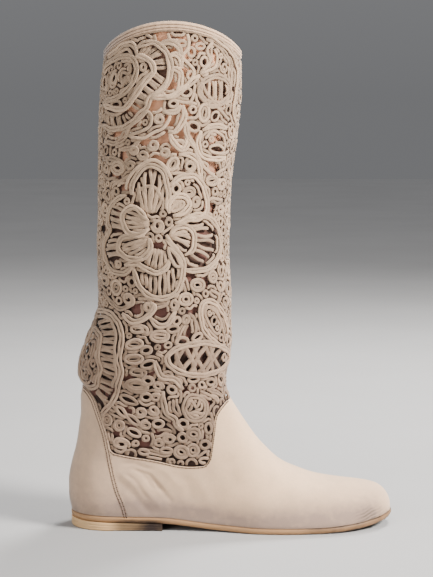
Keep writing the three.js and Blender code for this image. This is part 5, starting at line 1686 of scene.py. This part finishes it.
# %% The swept cords, a Geometry Nodes tree
def make_cord_tree():
    """Each cord is an oval swept along its path, with a groove along the middle of its upper side."""
    tree = bpy.data.node_groups.new("sewn_cords", "GeometryNodeTree")
    given, result = add_sockets(
        tree,
        [
            ("Geometry", "Geometry"), ("Cord Width", "Float", 0.0026), ("Cord Thickness", "Float", 0.0019),
            ("Groove", "Float", 0.45), ("Corners", "Int", 12), ("Material", "Material"),
        ],
        [("Geometry", "Geometry")],
    )
    curve = add_node(tree, "GeometryNodeMeshToCurve", {"Mesh": given["Geometry"]})
    inputs = {"Curve": curve.outputs["Curve"], "Normal": named(tree, "lay", "FLOAT_VECTOR")}
    turned = add_node(tree, "GeometryNodeSetCurveNormal", inputs, mode="FREE")
    inputs = {"Resolution": given["Corners"], "Radius": 0.5}
    circle = add_node(tree, "GeometryNodeCurvePrimitiveCircle", inputs, mode="RADIUS")
    place = add_node(tree, "GeometryNodeInputPosition").outputs["Position"]
    around = add_node(tree, "ShaderNodeSeparateXYZ", {"Vector": place})
    up, across = around.outputs["X"], around.outputs["Y"]
    upper_half = reckon(tree, "GREATER_THAN", up, 0.0)
    near_middle = reckon(tree, "LESS_THAN", reckon(tree, "ABSOLUTE", across, 0.0), 0.1)
    in_groove = reckon(tree, "MULTIPLY", upper_half, near_middle)
    left = reckon(tree, "SUBTRACT", 1.0, reckon(tree, "MULTIPLY", in_groove, given["Groove"]))
    tall = reckon(tree, "MULTIPLY", reckon(tree, "MULTIPLY", up, left), given["Cord Thickness"])
    wide = reckon(tree, "MULTIPLY", across, given["Cord Width"])
    flat = add_node(tree, "ShaderNodeCombineXYZ", {"X": tall, "Y": wide})
    inputs = {"Geometry": circle.outputs["Curve"], "Position": flat.outputs["Vector"]}
    oval = add_node(tree, "GeometryNodeSetPosition", inputs)
    # Painted shade: the groove and the underside are stored as furrow, for the material to darken.
    low_side = reckon(tree, "LESS_THAN", up, 0.1)
    shaded = reckon(
        tree, "MAXIMUM", reckon(tree, "MULTIPLY", in_groove, 0.3), reckon(tree, "MULTIPLY", low_side, 3.0)
    )
    inputs = {"Name": "furrow", "Geometry": oval.outputs["Geometry"], "Value": shaded}
    noted = add_node(tree, "GeometryNodeStoreNamedAttribute", inputs, data_type="FLOAT", domain="POINT")
    sweep = add_node(tree, "GeometryNodeCurveToMesh", {
        "Curve": turned.outputs["Curve"],
        "Profile Curve": noted.outputs["Geometry"],
        "Scale": named(tree, "girth"),
        "Fill Caps": True,
    })
    soft = add_node(tree, "GeometryNodeSetShadeSmooth", {"Geometry": sweep.outputs["Mesh"]})
    real = add_node(tree, "GeometryNodeRealizeInstances", {"Geometry": soft.outputs["Geometry"]})
    inputs = {"Geometry": real.outputs["Geometry"], "Material": given["Material"]}
    finish = add_node(tree, "GeometryNodeSetMaterial", inputs)
    tree.links.new(finish.outputs["Geometry"], result["Geometry"])
    return tree


cord_tree = make_cord_tree()
print("tree:", cord_tree.name, "with", len(cord_tree.nodes), "nodes")


# %% Laying the cords on both sides
def lay_cords(name, chosen, inner_side):
    """No cord runs quite evenly: each has its own sway, wave, girth and tone, and dips at its ends."""
    lines = []
    kept = {"lay": [], "tone": [], "girth": [], "wear_and_shade": [], "dust_and_shade": []}
    own = np.random.default_rng(11 if inner_side else 5)
    for path, closed, height, girth in chosen:
        for run, ring in cut_to_panel(path, closed):
            step = np.arange(len(run))
            from_end = np.minimum(step, step[::-1]) if not ring else np.full(len(run), 9)
            sway = 0.22 * np.sin(step * own.uniform(0.5, 0.9) + own.uniform(0, 6)) * (len(run) > 12)
            s, z = beside(run, sway[:, None], ring).T
            turn = 2 * np.pi - s / chart_radius if inner_side else s / chart_radius
            normal = shaft_normal(turn, z)
            wave = 0.12 * np.sin(step * 0.9 + own.uniform(0, 6)) - 0.85 * np.clip(1 - from_end / 1.5, 0, 1)
            lines.append((shaft_point(turn, z) + normal * (height + wave)[:, None], ring))
            kept["lay"].append(normal)
            kept["tone"].append(np.full(len(run), own.uniform(0, 1)))
            swell = own.uniform(0.94, 1.06) + 0.04 * np.sin(step * 1.7) - 0.15 * (from_end < 1)
            kept["girth"].append(girth * swell)
            # Painted shade: the lower-lying cords take more of the dark colour.
            kept["wear_and_shade"].append(np.full(len(run), max(0.0, 0.12 - 0.3 * height)))
            # Painted shade: the cords are darker towards the bottom.
            kept["dust_and_shade"].append(0.55 * smooth((260 - z) / 150))
    piece = path_mesh(name, lines, {key: np.concatenate(values) for key, values in kept.items()})
    length = sum(run_along(line)[-1] for line, _ in lines)
    run_tree(
        piece, cord_tree, Cord_Width=cord_width / 1000, Cord_Thickness=cord_thickness / 1000,
        Groove=0.45, Corners=12, Material=cord_nubuck,
    )
    print(name, "is", len(lines), "cords,", round(length / 1000, 1), "m long together")
    return piece


raised_paths = [item for item in paths if item[2] >= raised - 0.01]
ground_paths = [item for item in paths if item[2] < raised - 0.01]
lace_pieces = []
for name, chosen in (("motifs", raised_paths), ("rings", ground_paths), ("filling", filling)):
    lace_pieces.append(lay_cords("lace_" + name + "_outer", chosen, False))
    lace_pieces.append(lay_cords("lace_" + name + "_inner", chosen, True))
dress(lace_pieces[0], "lace_cord", "shaft")
for piece in lace_pieces[1:]:
    dress(piece, "lace_cord")

# %% [markdown]
# ## Lining and binding
#
# Through the larger openings a smooth rose-brown lining shows. Its colour holds painted light, paler
# near the top where light falls in, and painted shade where the lace over it is dense. It is a thin
# tube of soft lining leather just inside the cords. A plain inward copy of the lace would have its
# holes, so the tube is made from the shaft's chart as one closed wall.

# %% How open the lace is over a place of the lining, which sets where its painted shade goes
def openness(turn, z):
    s = np.where(turn > np.pi, 2 * np.pi - turn, turn) * chart_radius
    nearest = np.full(s.shape, 9.0)
    for opening in openings:
        nearest = np.minimum(nearest, past_opening(opening, s, z))
    return smooth((3.0 - nearest) / 2.4)


# %% The lining's colour, with painted light and painted shade
def lining_material():
    """Rose low down and paler above as painted light, and dark with painted shade where the lace over it is
    dense.
    """
    material, tree, shader = new_material("rose_lining", 0.75, sheen=0.2, specular=0.25)
    place = object_place(tree)
    height = add_node(tree, "ShaderNodeSeparateXYZ", {"Vector": place}).outputs["Z"]
    cloud = noise(tree, place, 30, 4)
    uneven = reckon(tree, "ADD", height, reckon(tree, "MULTIPLY", cloud, 0.03))
    # Painted light: the lining turns paler towards the top, where light falls in.
    pale = remap(tree, uneven, 0.25, 0.35, 0, 1)
    base = blend_colours(tree, pale, linear(120, 80, 70), linear(255, 190, 148))
    base = blend_colours(tree, remap(tree, cloud, 0.3, 0.7, 0, 0.18), base, linear(96, 64, 58))
    # Painted shade, darker low down, shows where the lace over the lining is dense.
    high = remap(tree, height, 0.16, 0.34, 0, 1)
    shadow = blend_colours(tree, high, linear(60, 42, 35), linear(104, 74, 60))
    tree.links.new(blend_colours(tree, stored(tree, "open"), shadow, base), shader.inputs["Base Color"])
    bump(tree, noise(tree, place, 700, 3), shader, 0.00005)
    return material


rose_lining = lining_material()
print("lining:", rose_lining.name)

# %% The lining
lining_depth = 4.0  # behind the skin, and less near both of its ends
lining_end_depth = 2.15
lining_columns = 300
lining_walls = ((0.0, 1, 150), (0.6, -1, 24))  # each: how much deeper, up or down, and rows
# The inner wall takes a quarter of the painted shade colour.
inner_wall_open = 0.75
turns = np.linspace(0, 2 * np.pi, lining_columns, endpoint=False)
at_ankle = chart_x(turns, chart_foot)
lining_low = np.clip(panel_curve(at_ankle) - 6, 46, 101)
lining_low = np.where(at_ankle < -109, 104, lining_low)
lining_high = topline(turns) - 1.6
lining_loops, lining_open = [], []
for wall, order, rows in lining_walls:
    for share in np.linspace(0, 1, rows)[::order]:
        z = mix(lining_low, lining_high, share)
        near_end = np.minimum(z - lining_low, lining_high - z)
        depth = mix(lining_end_depth, lining_depth, smooth(near_end / 14)) + wall
        lining_loops.append(shaft_point(turns, z) - shaft_normal(turns, z) * depth[:, None])
        lining_open.append(openness(turns, z) if wall == 0 else np.full(lining_columns, inner_wall_open))
lining_piece = new_piece(
    "soft_lining", np.concatenate(lining_loops), wall_faces(len(lining_loops), lining_columns),
    rose_lining, {"open": np.concatenate(lining_open)},
)
dress(lining_piece, "lace_cord")

# %% [markdown]
# The binding is a folded strip of nubuck that holds the lace's upper ends, sewn down with two rows. A
# torus cannot follow the arched topline, and a curve with a bevel would turn its section at the dips.
# So its section is drawn once, with the rows as grooves, and carried round the shaft upright.

# %% The binding round the topline: out from the skin, and height at the lowest of the topline
band_section = [
    (-2.5, 364.4), (-2.9, 366.5), (-2.85, 368.8), (-2.5, 370.2), (-1.9, 370.85), (-1.1, 371.0), (-0.2, 370.8),
    (0.3, 370.1), (0.5, 369.3), (0.5, 368.75), (0.05, 368.35), (0.5, 367.95), (0.6, 367.0), (0.5, 366.3),
    (0.05, 365.9), (0.5, 365.5), (0.5, 364.9), (0.3, 364.4), (-0.4, 364.2),
]
band_grooves = [0, 0, 0, 0, 0.1, 0.15, 0.1, 0, 0, 0.3, 0.9, 0.3, 0, 0.3, 0.9, 0.3, 0, 0.4, 0.7]
band_columns = 260
band_loops = []
for turn in np.linspace(0, 2 * np.pi, band_columns, endpoint=False):
    pucker = 0.10 * np.sin(turn * 61) + 0.07 * np.sin(turn * 37 + 1)
    section = []
    for out, up in band_section:
        z = topline(turn) + up - (boot_height - topline_dip)
        swell = pucker * (1 if out > 0 else 0.3)
        section.append(shaft_point(turn, z) + shaft_normal(turn, min(z, boot_height - 1)) * (out + swell))
    band_loops.append(np.array(section))
band_points = np.concatenate(band_loops)
band_numbers = {
    "wear_and_shade": np.tile(band_grooves, band_columns),
    # Painted shade: the binding is darker towards the back.
    "dust_and_shade": 0.9 * smooth((-60 - band_points[:, 0]) / 50),
}
binding_piece = new_piece(
    "topline_binding", band_points, wall_faces(band_columns, len(band_section)), binding_nubuck,
    band_numbers,
)
dress(binding_piece, "binding", "collar_band")

# %% [markdown]
# ## The floor
#
# A plain pale floor, wide enough that its edge is never seen.

# %% Floor
floor_reach = 6  # metres
corners = [(x * floor_reach, y * floor_reach, 0) for x, y in ((-1, -1), (1, -1), (1, 1), (-1, 1))]
floor_mesh = bpy.data.meshes.new("studio_floor")
floor_mesh.from_pydata(corners, [], [(0, 1, 2, 3)])
floor = bpy.data.objects.new("studio_floor", floor_mesh)
bpy.context.scene.collection.objects.link(floor)
floor_material, tree, shader = new_material("pale_floor", 0.9, specular=0.1)
cloud = remap(tree, noise(tree, object_place(tree), 3, 3), 0.3, 0.7, 0, 1)
shade = blend_colours(tree, cloud, (0.42, 0.416, 0.412), (0.45, 0.446, 0.442))
tree.links.new(shade, shader.inputs["Base Color"])
floor_mesh.materials.append(floor_material)
